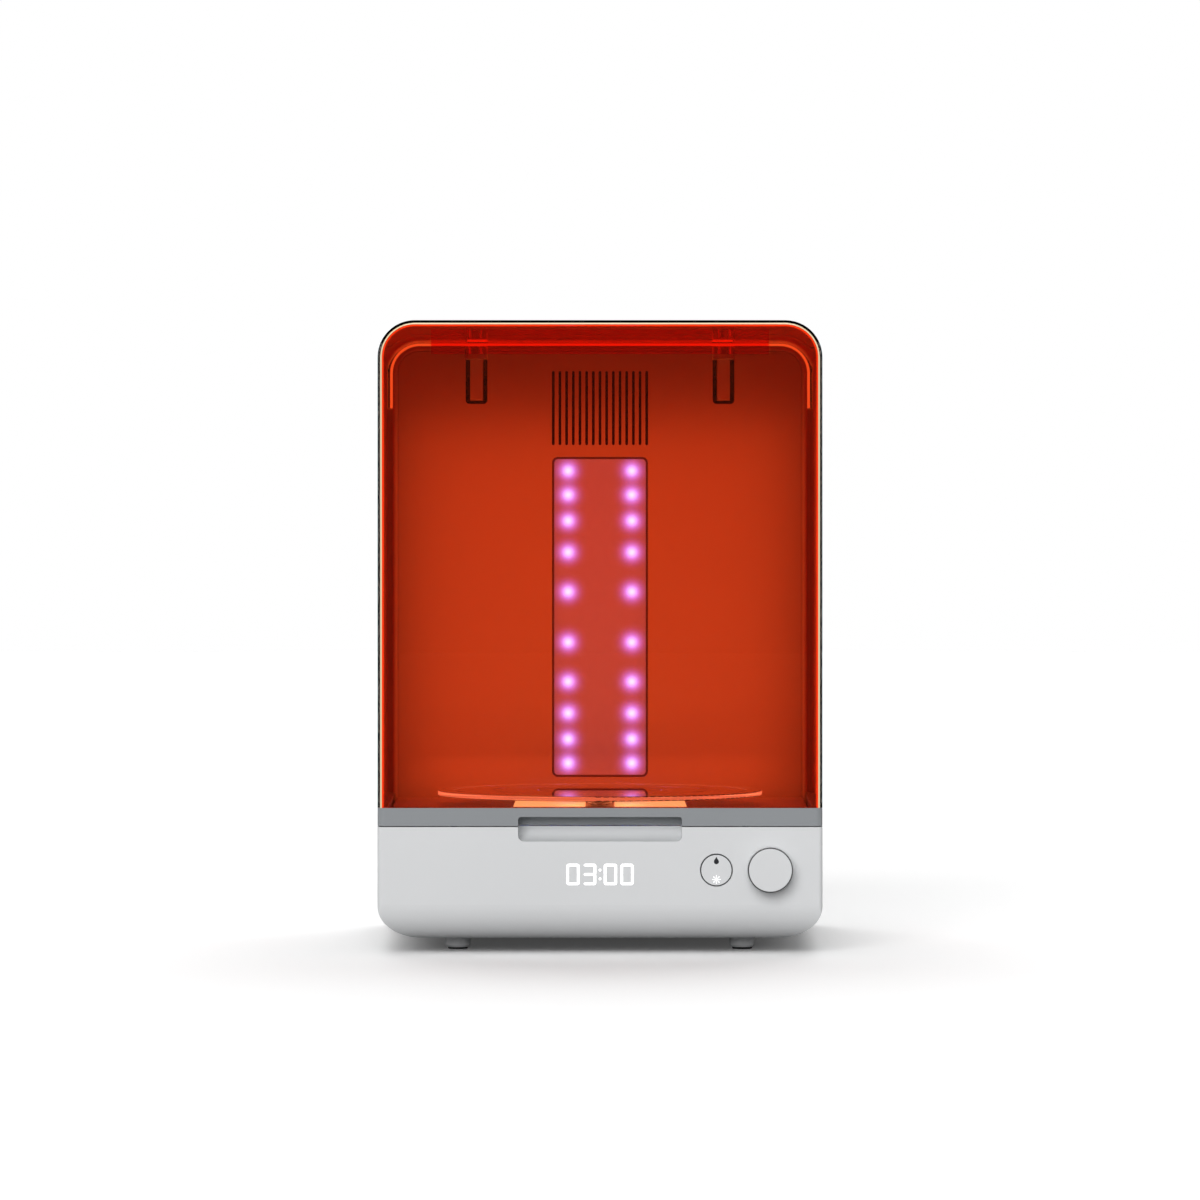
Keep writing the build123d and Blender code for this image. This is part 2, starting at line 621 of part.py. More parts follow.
def base_shell():
    """Moulded base cover: tub with finger scoop, deck, screw bosses, posts and panel holes."""
    shell = base_form(0) - base_form(BASE_WALL)
    across = (-PLATE_WIDTH / 2, PLATE_WIDTH / 2)
    shell -= block(across, (PLATE_FRONT, PLATE_REAR), (0, BASE_Z + 2 * BASE_WALL))
    shell += scoop_form(BASE_WALL) & base_form(0)
    for x, y in both_sides(BOSS_PLACES):
        shell += rod_z(BOSS, PLATE_Z, DECK_Z - BASE_WALL / 2, x, y)
    for x, z in PANEL_POSTS:
        shell += rod_y(PANEL_POST, PANEL_INSIDE_Y - BASE_WALL / 2, PANEL_BOARD_Y, x, z)
    inlet_pad = (INLET_BEZEL[0] + 2 * BASE_WALL, INLET_BEZEL[1] + 2 * BASE_WALL)
    shell += along_y(rounded(*inlet_pad, 2), REAR_Y - 2 * BASE_WALL, REAR_Y - OVER, INLET_X, INLET_Z)
    shell -= scoop_form(0)
    opening = rounded(DECK_OPENING_WIDTH, DECK_OPENING_REAR - DECK_OPENING_FRONT, PLATE_ROUND)
    opening = Pos(0, (DECK_OPENING_FRONT + DECK_OPENING_REAR) / 2, DECK_Z - 2 * BASE_WALL) * opening
    shell -= extrude(opening, 3 * BASE_WALL)
    cable_slot = extrude(rounded(*CABLE_SLOT, CABLE_SLOT_ROUND), 3 * BASE_WALL)
    shell -= Pos(0, (HOUSING_Y + REAR_Y) / 2, DECK_Z - 2 * BASE_WALL) * cable_slot
    for x, y in both_sides(BOSS_PLACES):
        shell -= rod_z(SCREW_SHANK + 2 * FIT, 0, PLATE_Z + SCREW_HOLE, x, y)
    for x, z in PANEL_POSTS:
        shell -= rod_y(SMALL_SHANK + 2 * FIT, PANEL_BOARD_Y - SMALL_HOLE, PANEL_BOARD_Y + OVER, x, z)
    for x, y in both_sides(HOUSING_SCREWS):
        shell -= rod_z(SCREW_SHANK + 2 * FIT, DECK_Z - 2 * BASE_WALL, DECK_Z + OVER, x, y)
    for x, y in both_sides(STRIP_SCREWS):
        shell -= rod_z(SMALL_SHANK + 2 * FIT, DECK_Z - 2 * BASE_WALL, DECK_Z + OVER, x, y)
    pocket = rounded(*TIMER_POCKET, TIMER_ROUND)
    shell -= along_y(pocket, FRONT_Y + TIMER_SKIN, PANEL_INSIDE_Y + OVER, 0, TIMER_Z)
    shell -= rod_y(BUTTON + 2 * PANEL_GAP, FRONT_Y - OVER, PANEL_INSIDE_Y + OVER, BUTTON_X, BUTTON_Z)
    shell -= rod_y(ENCODER_BUSHING[0] + 4 * FIT, FRONT_Y - OVER, PANEL_INSIDE_Y + OVER, KNOB_X, KNOB_Z)
    bezel = rounded(INLET_BEZEL[0] + 4 * FIT, INLET_BEZEL[1] + 4 * FIT, 2)
    shell -= along_y(bezel, REAR_Y - INLET_BEZEL[2], REAR_Y + OVER, INLET_X, INLET_Z)
    inlet_hole = rounded(INLET_BODY[0] + 4 * FIT, INLET_BODY[1] + 4 * FIT, 1)
    shell -= along_y(inlet_hole, REAR_Y - 4 * BASE_WALL, REAR_Y + OVER, INLET_X, INLET_Z)
    return shell


def standoff_places():
    """Corners of the control board and the power supply, where standoffs carry them."""
    places = []
    for size, centre in ((CONTROL_BOARD, CONTROL_BOARD_CENTRE), (SUPPLY, SUPPLY_CENTRE)):
        reach_x, reach_y = size[0] / 2 - STANDOFF[0], size[1] / 2 - STANDOFF[0]
        for x in (-reach_x, reach_x):
            for y in (-reach_y, reach_y):
                places.append((centre[0] + x, centre[1] + y))
    return places


def bottom_plate():
    """Flat plate under the base with air slots, screw and foot holes and standoffs."""
    length = PLATE_REAR - PLATE_FRONT
    middle = (PLATE_FRONT + PLATE_REAR) / 2
    plate = rounded(PLATE_WIDTH - 2 * PANEL_GAP, length - 2 * PANEL_GAP, PLATE_ROUND)
    plate = Pos(0, middle, BASE_Z) * extrude(plate, PLATE_THICK)
    air_slot = Pos(0, 0, BASE_Z - OVER) * extrude(SlotOverall(*AIR_SLOT), PLATE_THICK + 2 * OVER)
    for row in range(AIR_SLOT_ROWS):
        plate -= Pos(0, middle + AIR_SLOT_PITCH * (row - (AIR_SLOT_ROWS - 1) / 2), 0) * air_slot
    for x, y in standoff_places():
        plate += rod_z(STANDOFF[0], PLATE_Z - OVER, BOARD_Z, x, y)
        plate -= rod_z(SMALL_SHANK + 2 * FIT, BOARD_Z - SMALL_HOLE, BOARD_Z + OVER, x, y)
    for x, y in both_sides(BOSS_PLACES):
        plate -= rod_z(SCREW_SHANK + 2 * FIT, 0, PLATE_Z + OVER, x, y)
        plate -= rod_z(SCREW_HEAD[0] + 4 * FIT, 0, BASE_Z + SCREW_HEAD[1], x, y)
    for x, y in foot_places():
        plate -= rod_z(FOOT_SPIGOT + 2 * FIT, 0, PLATE_Z + OVER, x, y)
    return plate


def foot_places():
    """The four feet."""
    return both_sides([(FOOT_X, FOOT_FRONT_Y), (FOOT_X, FOOT_REAR_Y)])


def feet():
    """Turned foot bodies with a spigot in the plate and a cup for the pad."""
    bottom = PAD_SHOW
    profile = Polyline(
        (0, bottom + PAD_DEEP),
        (PAD / 2 + FIT, bottom + PAD_DEEP),
        (PAD / 2 + FIT, bottom),
        (FOOT / 2 - FOOT_BEVEL, bottom),
        (FOOT / 2, bottom + FOOT_BEVEL),
        (FOOT / 2, BASE_Z),
        (FOOT_SPIGOT / 2, BASE_Z),
        (FOOT_SPIGOT / 2, PLATE_Z),
        (0, PLATE_Z),
        close=True,
    )
    foot = revolve(Plane.XZ * make_face(profile), Axis.Z)
    return together(Pos(x, y, 0) * foot for x, y in foot_places())


def foot_pads():
    """Rubber pads in the feet."""
    pad = extrude(Circle(PAD / 2), PAD_SHOW + PAD_DEEP)
    pad = chamfer(pad.edges().group_by(Axis.Z)[0], 0.4)
    return together(Pos(x, y, 0) * pad for x, y in foot_places())


def base_screws():
    """Screws up through the bottom plate into the bosses."""
    item = UP * screw(SCREW_HEAD, SCREW_SHANK, SCREW_LENGTH)
    return together(Pos(x, y, BASE_Z) * item for x, y in both_sides(BOSS_PLACES))


# ---------------------------------------------------------------- chamber floor
def pane_centre():
    """Distance of each floor pane's middle from the turntable's axis."""
    return (PANE_INNER_X + PANE_OUTER_X) / 2


def chamber_floor():
    """Raised floor: shallow pan with rolled edges, two pane rebates and board posts."""
    pan = plan_prism(FLOOR_INSET, FLOOR_FRONT_Y, FLOOR_REAR_Y, DECK_Z, FLOOR_Z, FLOOR_CORNER, 2)
    pan = fillet(pan.edges().group_by(Axis.Z)[-1], FLOOR_EDGE)
    inner = plan_prism(
        FLOOR_INSET + FLOOR_SHEET,
        FLOOR_FRONT_Y + FLOOR_SHEET,
        FLOOR_REAR_Y - FLOOR_SHEET,
        DECK_Z - OVER,
        FLOOR_Z - FLOOR_SHEET,
        FLOOR_CORNER - FLOOR_SHEET,
        0,
    )
    pan -= inner
    for x in (-POST_X, POST_X):
        for y in (TABLE_Y - POST_Y, TABLE_Y + POST_Y):
            pan += rod_z(POST, FLOOR_BOARD_Z + BOARD_THICK, FLOOR_Z - FLOOR_SHEET / 2, x, y)
            hole_top = FLOOR_BOARD_Z + BOARD_THICK + SMALL_HOLE
            pan -= rod_z(SMALL_SHANK + 2 * FIT, FLOOR_BOARD_Z, hole_top, x, y)
    width = PANE_OUTER_X - PANE_INNER_X
    seat = extrude(rounded(width + 2 * FIT, PANE_LENGTH + 2 * FIT, PANE_ROUND), FLOOR_SHEET)
    light = rounded(width - 2 * PANE_LEDGE, PANE_LENGTH - 2 * PANE_LEDGE, PANE_ROUND - PANE_LEDGE)
    light = extrude(light, 3 * FLOOR_SHEET)
    for side in (-1, 1):
        pan -= Pos(side * pane_centre(), TABLE_Y, FLOOR_Z - PANE_THICK) * seat
        pan -= Pos(side * pane_centre(), TABLE_Y, FLOOR_Z - 2 * FLOOR_SHEET) * light
    pan -= rod_z(SHAFT_HOLE, FLOOR_Z - 2 * FLOOR_SHEET, FLOOR_Z + OVER, 0, TABLE_Y)
    return pan


def floor_panes():
    """Clear panes flush in the chamber floor."""
    pane = extrude(rounded(PANE_OUTER_X - PANE_INNER_X, PANE_LENGTH, PANE_ROUND), PANE_THICK)
    places = [side * pane_centre() for side in (-1, 1)]
    return together(Pos(x, TABLE_Y, FLOOR_Z - PANE_THICK) * pane for x in places)


def floor_lamp_board():
    """Lamp board under the chamber floor, with a hole for the drive shaft."""
    board = extrude(rounded(FLOOR_BOARD_WIDTH, FLOOR_BOARD_LENGTH, BOARD_CORNER), BOARD_THICK)
    board -= extrude(Circle(HUB_BOSS), BOARD_THICK)
    board = Pos(0, TABLE_Y, FLOOR_BOARD_Z) * board
    for x in (-POST_X, POST_X):
        for y in (TABLE_Y - POST_Y, TABLE_Y + POST_Y):
            board -= rod_z(SMALL_SHANK + 2 * FIT, FLOOR_BOARD_Z - OVER, FLOOR_BOARD_Z + 2 * BOARD_THICK, x, y)
    return board


def lamp():
    """One lamp chip, seen from its board: square foot and smaller lit face."""
    return extrude(Rectangle(LAMP_SIZE, LAMP_SIZE), LAMP_HEIGHT, taper=LAMP_TAPER)


def floor_lamps():
    """Lamp chips on the floor board, one column under each pane."""
    chips = []
    for side in (-1, 1):
        for row in range(FLOOR_LAMP_ROWS):
            y = TABLE_Y + FLOOR_LAMP_PITCH * (row - (FLOOR_LAMP_ROWS - 1) / 2)
            chips.append(Pos(side * pane_centre(), y, FLOOR_BOARD_Z + BOARD_THICK) * lamp())
    return together(chips)


# ---------------------------------------------------------------- turntable drive


def motor_bracket():
    """Pressed strip that hangs the motor below the deck opening."""
    half, flange = RISER_X, DECK_OPENING_WIDTH / 2 + BRACKET_FLANGE
    top, thick = DECK_Z - BASE_WALL, BRACKET_STRIP[1]
    profile = Polyline(
        (-flange, top),
        (-half, top),
        (-half, STRIP_Z + thick),
        (half, STRIP_Z + thick),
        (half, top),
        (flange, top),
        (flange, top - thick),
        (half + thick, top - thick),
        (half + thick, STRIP_Z),
        (-half - thick, STRIP_Z),
        (-half - thick, top - thick),
        (-flange, top - thick),
        close=True,
    )
    width = BRACKET_STRIP[0]
    strip = along_y(make_face(profile), TABLE_Y - width / 2, TABLE_Y + width / 2)
    strip -= rod_z(MOTOR_COLLAR[0] + 4 * FIT, STRIP_Z - OVER, STRIP_Z + thick + OVER, 0, TABLE_Y)
    for x, y in both_sides(STRIP_SCREWS):
        strip -= rod_z(SMALL_SHANK + 2 * FIT, top - 2 * thick, top + OVER, x, y)
    for x in (-MOTOR_EAR_X, MOTOR_EAR_X):
        strip -= rod_z(SMALL_SHANK + 2 * FIT, STRIP_Z - OVER, STRIP_Z + thick + OVER, x, TABLE_Y)
    return strip


def turntable_motor():
    """Flat geared motor with two ears, and a collar that the drive shaft runs in."""
    body = Pos(0, 0, MOTOR_Z) * extrude(Circle(MOTOR[0] / 2), MOTOR[1])
    body = chamfer(body.edges().group_by(Axis.Z)[0], 1)
    ears = extrude(SlotOverall(2 * MOTOR_EAR_X + MOTOR_EAR, MOTOR_EAR), BRACKET_STRIP[1])
    body += Pos(0, 0, STRIP_Z - BRACKET_STRIP[1]) * ears
    body += Pos(0, 0, STRIP_Z) * extrude(Circle(MOTOR_COLLAR[0] / 2), MOTOR_COLLAR[1])
    body -= Pos(0, 0, MOTOR_Z + MOTOR_FLOOR) * extrude(Circle(SHAFT / 2 + FIT), MOTOR[1] + MOTOR_COLLAR[1])
    for x in (-MOTOR_EAR_X, MOTOR_EAR_X):
        body -= rod_z(SMALL_SHANK + 2 * FIT, MOTOR_Z, STRIP_Z + OVER, x, 0)
    return Pos(0, TABLE_Y, 0) * body


def drive_screws():
    """Small screws: motor to its strip, strip to the deck, and lamp board to its posts."""
    screws = []
    short = UP * screw(SMALL_HEAD, SMALL_SHANK, SMALL_LENGTH)
    long = UP * screw(SMALL_HEAD, SMALL_SHANK, BOARD_THICK + SMALL_LENGTH)
    for x in (-MOTOR_EAR_X, MOTOR_EAR_X):
        screws.append(Pos(x, TABLE_Y, STRIP_Z - BRACKET_STRIP[1] - SMALL_HEAD[1]) * short)
    for x, y in both_sides(STRIP_SCREWS):
        screws.append(Pos(x, y, DECK_Z - BASE_WALL - BRACKET_STRIP[1] - SMALL_HEAD[1]) * short)
    for x in (-POST_X, POST_X):
        for y in (TABLE_Y - POST_Y, TABLE_Y + POST_Y):
            screws.append(Pos(x, y, FLOOR_BOARD_Z - SMALL_HEAD[1]) * long)
    return together(screws)


def turntable_glass():
    """Round glass plate with polished edge and three rings pressed into its top."""
    radius, top = TABLE / 2, GLASS_THICK
    profile = Pos(radius / 2, top / 2) * Rectangle(radius, top)
    profile = fillet(profile.vertices().group_by(Axis.X)[-1], GLASS_EDGE)
    for ring in GLASS_RING_RADII:
        profile -= Pos(ring, top) * RegularPolygon(GLASS_RING, 4)
    plate = revolve(Plane.XZ * profile, Axis.Z)
    return Pos(0, TABLE_Y, GLASS_Z) * plate


def turntable_hub():
    """Flanged hub under the glass with a bore for the drive shaft."""
    flange_z = GLASS_Z - HUB_FLANGE[1]
    hub = rod_z(HUB_FLANGE[0], flange_z, GLASS_Z, 0, TABLE_Y)
    hub = chamfer(hub.edges().group_by(Axis.Z)[0], 0.6)
    hub += rod_z(HUB_BOSS, FLOOR_Z + HUB_CLEARANCE, GLASS_Z - HUB_FLANGE[1] / 2, 0, TABLE_Y)
    return hub - shaft_form(FIT, MOTOR_Z, GLASS_Z - HUB_FLANGE[1] / 2)


def shaft_form(grow, bottom, top):
    """Drive shaft with a flat along its upper part."""
    radius = SHAFT / 2 + grow
    rod = rod_z(2 * radius, bottom, top, 0, TABLE_Y)
    flat_y = TABLE_Y + SHAFT / 2 - SHAFT_FLAT + grow
    return rod - block((-radius, radius), (flat_y, flat_y + radius), (FLOOR_Z - 1, top + 1))


def drive_shaft():
    """Shaft from the motor up into the hub."""
    return shaft_form(0, MOTOR_Z + MOTOR_FLOOR + FIT, GLASS_Z - HUB_FLANGE[1] / 2 - FIT)


# ---------------------------------------------------------------- hood
def hood_shell():
    """See-through hood: front, top and sides in one moulding, with a tongue for the rail."""
    upper = hood_form(0, RAIL_TOP_Z + FIT, HOOD_REAR_Y, HOOD_EDGE)
    bottom, top = HOOD_FOOT_Z + FIT, RAIL_TOP_Z + FIT
    edge = HOOD_EDGE - RAIL_SKIN
    tongue = plan_prism(RAIL_SKIN, FRONT_Y + RAIL_SKIN, HOOD_REAR_Y, bottom, top, edge, 0)
    inside = hood_form(HOOD_WALL, DECK_Z, HOOD_REAR_Y + 5, 1.0)
    return upper + tongue - inside


def hood_rail():
    """Rail round the foot of the hood: groove for the hood, finger notch and seats."""
    rail = plan_prism(0, FRONT_Y, HOOD_REAR_Y, RAIL_Z, RAIL_TOP_Z, HOOD_EDGE, 0)
    rail -= plan_prism(
        HOOD_WALL + RAIL_TONGUE, FRONT_Y + RAIL_DEPTH, HOOD_REAR_Y + 5, DECK_Z, RAIL_TOP_Z + 1, 3, 0
    )
    outer, inner = RAIL_SKIN - FIT, HOOD_WALL + FIT
    groove = plan_prism(
        outer, FRONT_Y + outer, HOOD_REAR_Y + 5, HOOD_FOOT_Z, RAIL_TOP_Z + 1, HOOD_EDGE - outer, 0
    )
    groove -= plan_prism(inner, FRONT_Y + inner, HOOD_REAR_Y + 6, DECK_Z, RAIL_TOP_Z + 2, 1.0 - FIT, 0)
    rail -= groove
    notch = Pos(0, RAIL_Z) * Rectangle(SCOOP_WIDTH, 2 * NOTCH_HEIGHT)
    notch = fillet(notch.vertices(), NOTCH_ROUND)
    rail -= along_y(notch, FRONT_Y - 1, FRONT_Y + SCOOP_DEPTH)
    neck_room = NECK_INSET - PANEL_GAP
    rail -= plan_prism(neck_room, WALL_Y - PANEL_GAP, HOOD_REAR_Y + 5, DECK_Z, RAIL_TOP_Z + 1, 0, 0)
    for x, y in bumper_places():
        rail -= rod_z(BUMPER + 2 * FIT, DECK_Z, RAIL_Z + BUMPER_DEEP, x, y)
    rail -= rod_z(MAGNET + 2 * FIT, DECK_Z, RAIL_Z + MAGNET_THICK, MAGNET_X, magnet_y())
    return rail


def magnet_y():
    """The lid magnet sits in the middle of the rail's front member."""
    return FRONT_Y + RAIL_DEPTH / 2


def bumper_places():
    """Rubber bumpers: two in the front member and two in each side leg."""
    places = [(BUMPER_FRONT_X, magnet_y())]
    for y in (HOOD_REAR_Y - 14, (FRONT_Y + HOOD_REAR_Y) / 2):
        places.append((half_width(y) - (HOOD_WALL + RAIL_TONGUE) / 2, y))
    return both_sides(places)


def rail_bumpers():
    """Rubber bumpers that the hood rests on."""
    return together(rod_z(BUMPER, DECK_Z, RAIL_Z + BUMPER_DEEP, x, y) for x, y in bumper_places())


def lid_magnet():
    """Magnet that tells the lid sensor that the hood is down."""
    return rod_z(MAGNET, RAIL_Z, RAIL_Z + MAGNET_THICK, MAGNET_X, magnet_y())


def hinge_bar():
    """Stiffening bar bonded under the hood's ceiling, which the arms screw to."""
    bar = block((-BAR_WIDTH / 2, BAR_WIDTH / 2), (BAR_BACK_Y - BAR_DEPTH, BAR_BACK_Y), (BAR_Z, HEIGHT))
    bar &= hood_form(HOOD_WALL, DECK_Z, HOOD_REAR_Y, 1.0)
    for x, y in arm_screw_places():
        bar -= rod_z(SMALL_SHANK + 2 * FIT, BAR_Z - 1, BAR_Z + 5, x, y)
    return bar


def arm_screw_places():
    """Two screws up through each arm's foot."""
    middle = BAR_BACK_Y - BAR_DEPTH / 2
    return [(side * ARM_X + offset, middle) for side in (-1, 1) for offset in (-3.4, 3.4)]


def hinge_arm():
    """Hinge arm at X = 0: strip in the wall slot, web to the pin, head and foot."""
    top_y = ARM_FRONT_Y + ARM_STRIP
    web = Polyline(
        (ARM_FRONT_Y, ARM_BOTTOM_Z),
        (ARM_FRONT_Y, ARM_TOP_Z),
        (top_y - ARM_BEVEL, ARM_TOP_Z),
        (top_y, ARM_TOP_Z - ARM_BEVEL),
        (HINGE_Y + ARM_BOSS * sin(radians(40)), HINGE_Z + ARM_BOSS * cos(radians(40))),
        (HINGE_Y, HINGE_Z),
        (HINGE_Y, HINGE_Z - ARM_BOSS),
        close=True,
    )
    web = fillet(make_face(web).vertices().sort_by(Axis.X)[:2], ARM_ROUND)
    arm = extrude(facing_side() * web, ARM_THICK / 2, both=True)
    arm += rod_x(2 * ARM_BOSS, -ARM_THICK / 2, ARM_THICK / 2, HINGE_Y, HINGE_Z)
    head_z = BAR_Z - ARM_FOOT
    head = block((-ARM_HEAD / 2, ARM_HEAD / 2), (ARM_FRONT_Y, top_y), (head_z, ARM_TOP_Z))
    head = chamfer(head.edges().filter_by(Axis.X).sort_by(Axis.Z)[-2:].sort_by(Axis.Y)[-1], ARM_BEVEL)
    head = fillet(head.edges().filter_by(Axis.X).sort_by(Axis.Y)[:2].sort_by(Axis.Z)[-1], ARM_ROUND)
    foot_y = (BAR_BACK_Y - BAR_DEPTH, ARM_FRONT_Y + ARM_STRIP / 2)
    foot = block((-ARM_HEAD / 2, ARM_HEAD / 2), foot_y, (head_z, BAR_Z))
    foot = fillet(foot.edges().filter_by(Axis.Z).sort_by(Axis.Y)[:2], 2)
    return arm + head + foot - rod_x(pin_bore(), -ARM_HEAD, ARM_HEAD, HINGE_Y, HINGE_Z)


def pin_bore():
    """Bore of the arm, which holds the bush."""
    return PIN + 2 * BUSH_WALL + 4 * FIT


def hinge_arms():
    """The two arms, with countersinks under their feet."""
    arms = [Pos(x, 0, 0) * hinge_arm() for x in (-ARM_X, ARM_X)]
    for index, arm in enumerate(arms):
        for x, y in arm_screw_places()[2 * index : 2 * index + 2]:
            bottom = BAR_Z - ARM_FOOT
            arm -= rod_z(SMALL_SHANK + 2 * FIT, bottom - 1, BAR_Z + 1, x, y)
            arm -= rod_z(SMALL_HEAD[0] + 2 * FIT, bottom - 1, bottom + SMALL_HEAD[1], x, y)
        arms[index] = arm
    return together(arms)


def arm_screws():
    """Screws that hold the arms to the bar."""
    item = UP * screw(SMALL_HEAD, SMALL_SHANK, SMALL_LENGTH + 1.5)
    return together(Pos(x, y, BAR_Z - ARM_FOOT) * item for x, y in arm_screw_places())


def arm_bushes():
    """Flanged bushes in the arms, which turn on the pins."""
    reach = ARM_THICK / 2
    bush = rod_x(PIN + 2 * BUSH_WALL + 2 * FIT, -reach, reach, HINGE_Y, HINGE_Z)
    for x in (-reach - BUSH_FLANGE[1], reach):
        bush += rod_x(BUSH_FLANGE[0], x, x + BUSH_FLANGE[1], HINGE_Y, HINGE_Z)
    bush -= rod_x(PIN + 2 * FIT, -ARM_HEAD, ARM_HEAD, HINGE_Y, HINGE_Z)
    return together(Pos(x, 0, 0) * bush for x in (-ARM_X, ARM_X))


# ---------------------------------------------------------------- hinge parts in the housing
def cheek_x():
    """Inside face of each bracket cheek, from the middle of the arm."""
    return ARM_THICK / 2 + BUSH_FLANGE[1] + FIT


def hinge_brackets():
    """Pressed steel brackets: back plate on the housing and two cheeks round each arm."""
    plate_y = HOUSING_BACK_Y - CHEEK
    plate_z = (HINGE_Z - BRACKET_BELOW, HINGE_Z)
    cheek = Polyline(
        (plate_y + CHEEK / 2, plate_z[0]),
        (HINGE_Y - ARM_BOSS, HINGE_Z),
        (HINGE_Y, HINGE_Z + ARM_BOSS),
        (plate_y + CHEEK / 2, HINGE_Z),
        close=True,
    )
    bracket = block((-BRACKET_WIDTH / 2, BRACKET_WIDTH / 2), (plate_y, HOUSING_BACK_Y), plate_z)
    for x in (cheek_x(), -cheek_x() - CHEEK):
        bracket += extrude(facing_side(x) * make_face(cheek), CHEEK)
        bracket += rod_x(2 * ARM_BOSS, x, x + CHEEK, HINGE_Y, HINGE_Z)
    bracket -= rod_x(PIN + 2 * FIT, -BRACKET_WIDTH, BRACKET_WIDTH, HINGE_Y, HINGE_Z)
    for x, z in bracket_screw_places():
        bracket -= rod_y(SMALL_SHANK + 2 * FIT, plate_y - OVER, REAR_Y, x, z)
    return together(Pos(x, 0, 0) * bracket for x in (-ARM_X, ARM_X))


def bracket_screw_places():
    """Two screws in each bracket's back plate, from the middle of the arm."""
    return [(x, HINGE_Z - BRACKET_BELOW / 2) for x in (-BRACKET_WIDTH / 2 + 4, BRACKET_WIDTH / 2 - 4)]


def bracket_screws():
    """Screws that hold the brackets to the housing."""
    item = TO_REAR * screw(SMALL_HEAD, SMALL_SHANK, SMALL_LENGTH)
    y = HOUSING_BACK_Y - CHEEK - SMALL_HEAD[1]
    screws = []
    for arm_x in (-ARM_X, ARM_X):
        for x, z in bracket_screw_places():
            screws.append(Pos(arm_x + x, y, z) * item)
    return together(screws)


def hinge_pins():
    """Headed pins through the brackets."""
    end = cheek_x() + CHEEK
    pin = rod_x(PIN, -end, end + 2 * CLIP[1] + FIT, HINGE_Y, HINGE_Z)
    pin += rod_x(PIN_HEAD[0], -end - PIN_HEAD[1], -end, HINGE_Y, HINGE_Z)
    return together(Pos(x, 0, 0) * pin for x in (-ARM_X, ARM_X))


def pin_clips():
    """Spring clips on the pins' free ends."""
    start = cheek_x() + CHEEK
    clip = rod_x(CLIP[0], start, start + CLIP[1], HINGE_Y, HINGE_Z)
    clip -= rod_x(PIN + 2 * FIT, start - 1, start + 2, HINGE_Y, HINGE_Z)
    slot = PIN / 2 - 0.6
    clip -= block((start - 1, start + 2), (HINGE_Y - slot, HINGE_Y + slot), (HINGE_Z - CLIP[0], HINGE_Z))
    return together(Pos(x, 0, 0) * clip for x in (-ARM_X, ARM_X))


# ---------------------------------------------------------------- rear housing and back wall


def shoulder_form(inset):
    """Full-width lower part of the rear housing."""
    form = plan_prism(
        inset, HOUSING_Y + inset, REAR_Y - inset, DECK_Z, SHOULDER_Z - inset, 0, REAR_EDGE - inset
    )
    if inset > 0:
        return form
    return fillet(form.edges().group_by(Axis.Z)[-1], SHOULDER_EDGE)


def housing_boss_places():
    """Screw columns between the back wall and the housing's rear, mirrored in the middle."""
    return both_sides(WALL_BOSS_PLACES)


def rear_housing():
    """Rear cover: neck and full-width shoulder, louvres, hinge slots and screw feet."""
    shell = neck_form(0, WALL_Y, NECK_EDGE) + shoulder_form(0)
    shell -= neck_form(HOUSING_WALL, WALL_Y - 5 * OVER, 0)
    shell -= shoulder_form(HOUSING_WALL)
    for x, y in both_sides(HOUSING_SCREWS):
        shell += rod_z(BOSS, DECK_Z, DECK_Z + HOUSING_BOSS_HEIGHT, x, y)
        gusset = (x - GUSSET[0] / 2, x + GUSSET[0] / 2)
        shell += block(gusset, (y, HOUSING_BACK_Y + OVER), (DECK_Z, DECK_Z + GUSSET[1]))
        shell -= rod_z(SCREW_SHANK + 2 * FIT, DECK_Z - OVER, DECK_Z + SCREW_HOLE, x, y)
    across = (-SLOT_WIDTH / 2, SLOT_WIDTH / 2)
    slot = block(across, (WALL_Y - OVER, REAR_Y + OVER), (SLOT_REAR_Z, HEIGHT))
    for x in (-ARM_X, ARM_X):
        shell -= Pos(x, 0, 0) * slot
        for offset, z in bracket_screw_places():
            shell -= rod_y(SMALL_SHANK + 2 * FIT, HOUSING_BACK_Y - OVER, REAR_Y - SCREW_SKIN, x + offset, z)
    louvre = along_y(SlotOverall(*LOUVRE_SLOT), HOUSING_BACK_Y - OVER, REAR_Y + OVER)
    for middle in LOUVRE_HEIGHTS:
        for row in range(LOUVRE_COUNT):
            shell -= Pos(0, 0, middle + LOUVRE_PITCH * (row - (LOUVRE_COUNT - 1) / 2)) * louvre
    for x, z in housing_boss_places():
        shell -= rod_y(SCREW_SHANK + 2 * FIT, HOUSING_BACK_Y - OVER, REAR_Y + OVER, x, z)
        shell -= rod_y(SCREW_HEAD[0] + 4 * FIT, REAR_Y - SCREW_HEAD[1], REAR_Y + OVER, x, z)
    return shell


def housing_screws():
    """Screws up through the deck into the rear housing."""
    item = UP * screw(SCREW_HEAD, SCREW_SHANK, SCREW_LENGTH)
    z = DECK_Z - BASE_WALL - SCREW_HEAD[1]
    return together(Pos(x, y, z) * item for x, y in both_sides(HOUSING_SCREWS))


def window_face(grow):
    """Front view of the lamp window, grown by an amount on every side."""
    height = WINDOW_TOP_Z - WINDOW_BOTTOM_Z
    return rounded(WINDOW_WIDTH + 2 * grow, height + 2 * grow, WINDOW_ROUND + grow)


def window_z():
    """Height of the lamp window's middle."""
    return (WINDOW_BOTTOM_Z + WINDOW_TOP_Z) / 2


def sink_boss_places():
    """Bosses beside the lamp window that carry the heat sink."""
    inset = SINK_BOSS_TO_WINDOW_END
    heights = (WINDOW_BOTTOM_Z + inset, window_z(), WINDOW_TOP_Z - inset)
    return both_sides([(SINK_BOSS_X, z) for z in heights])


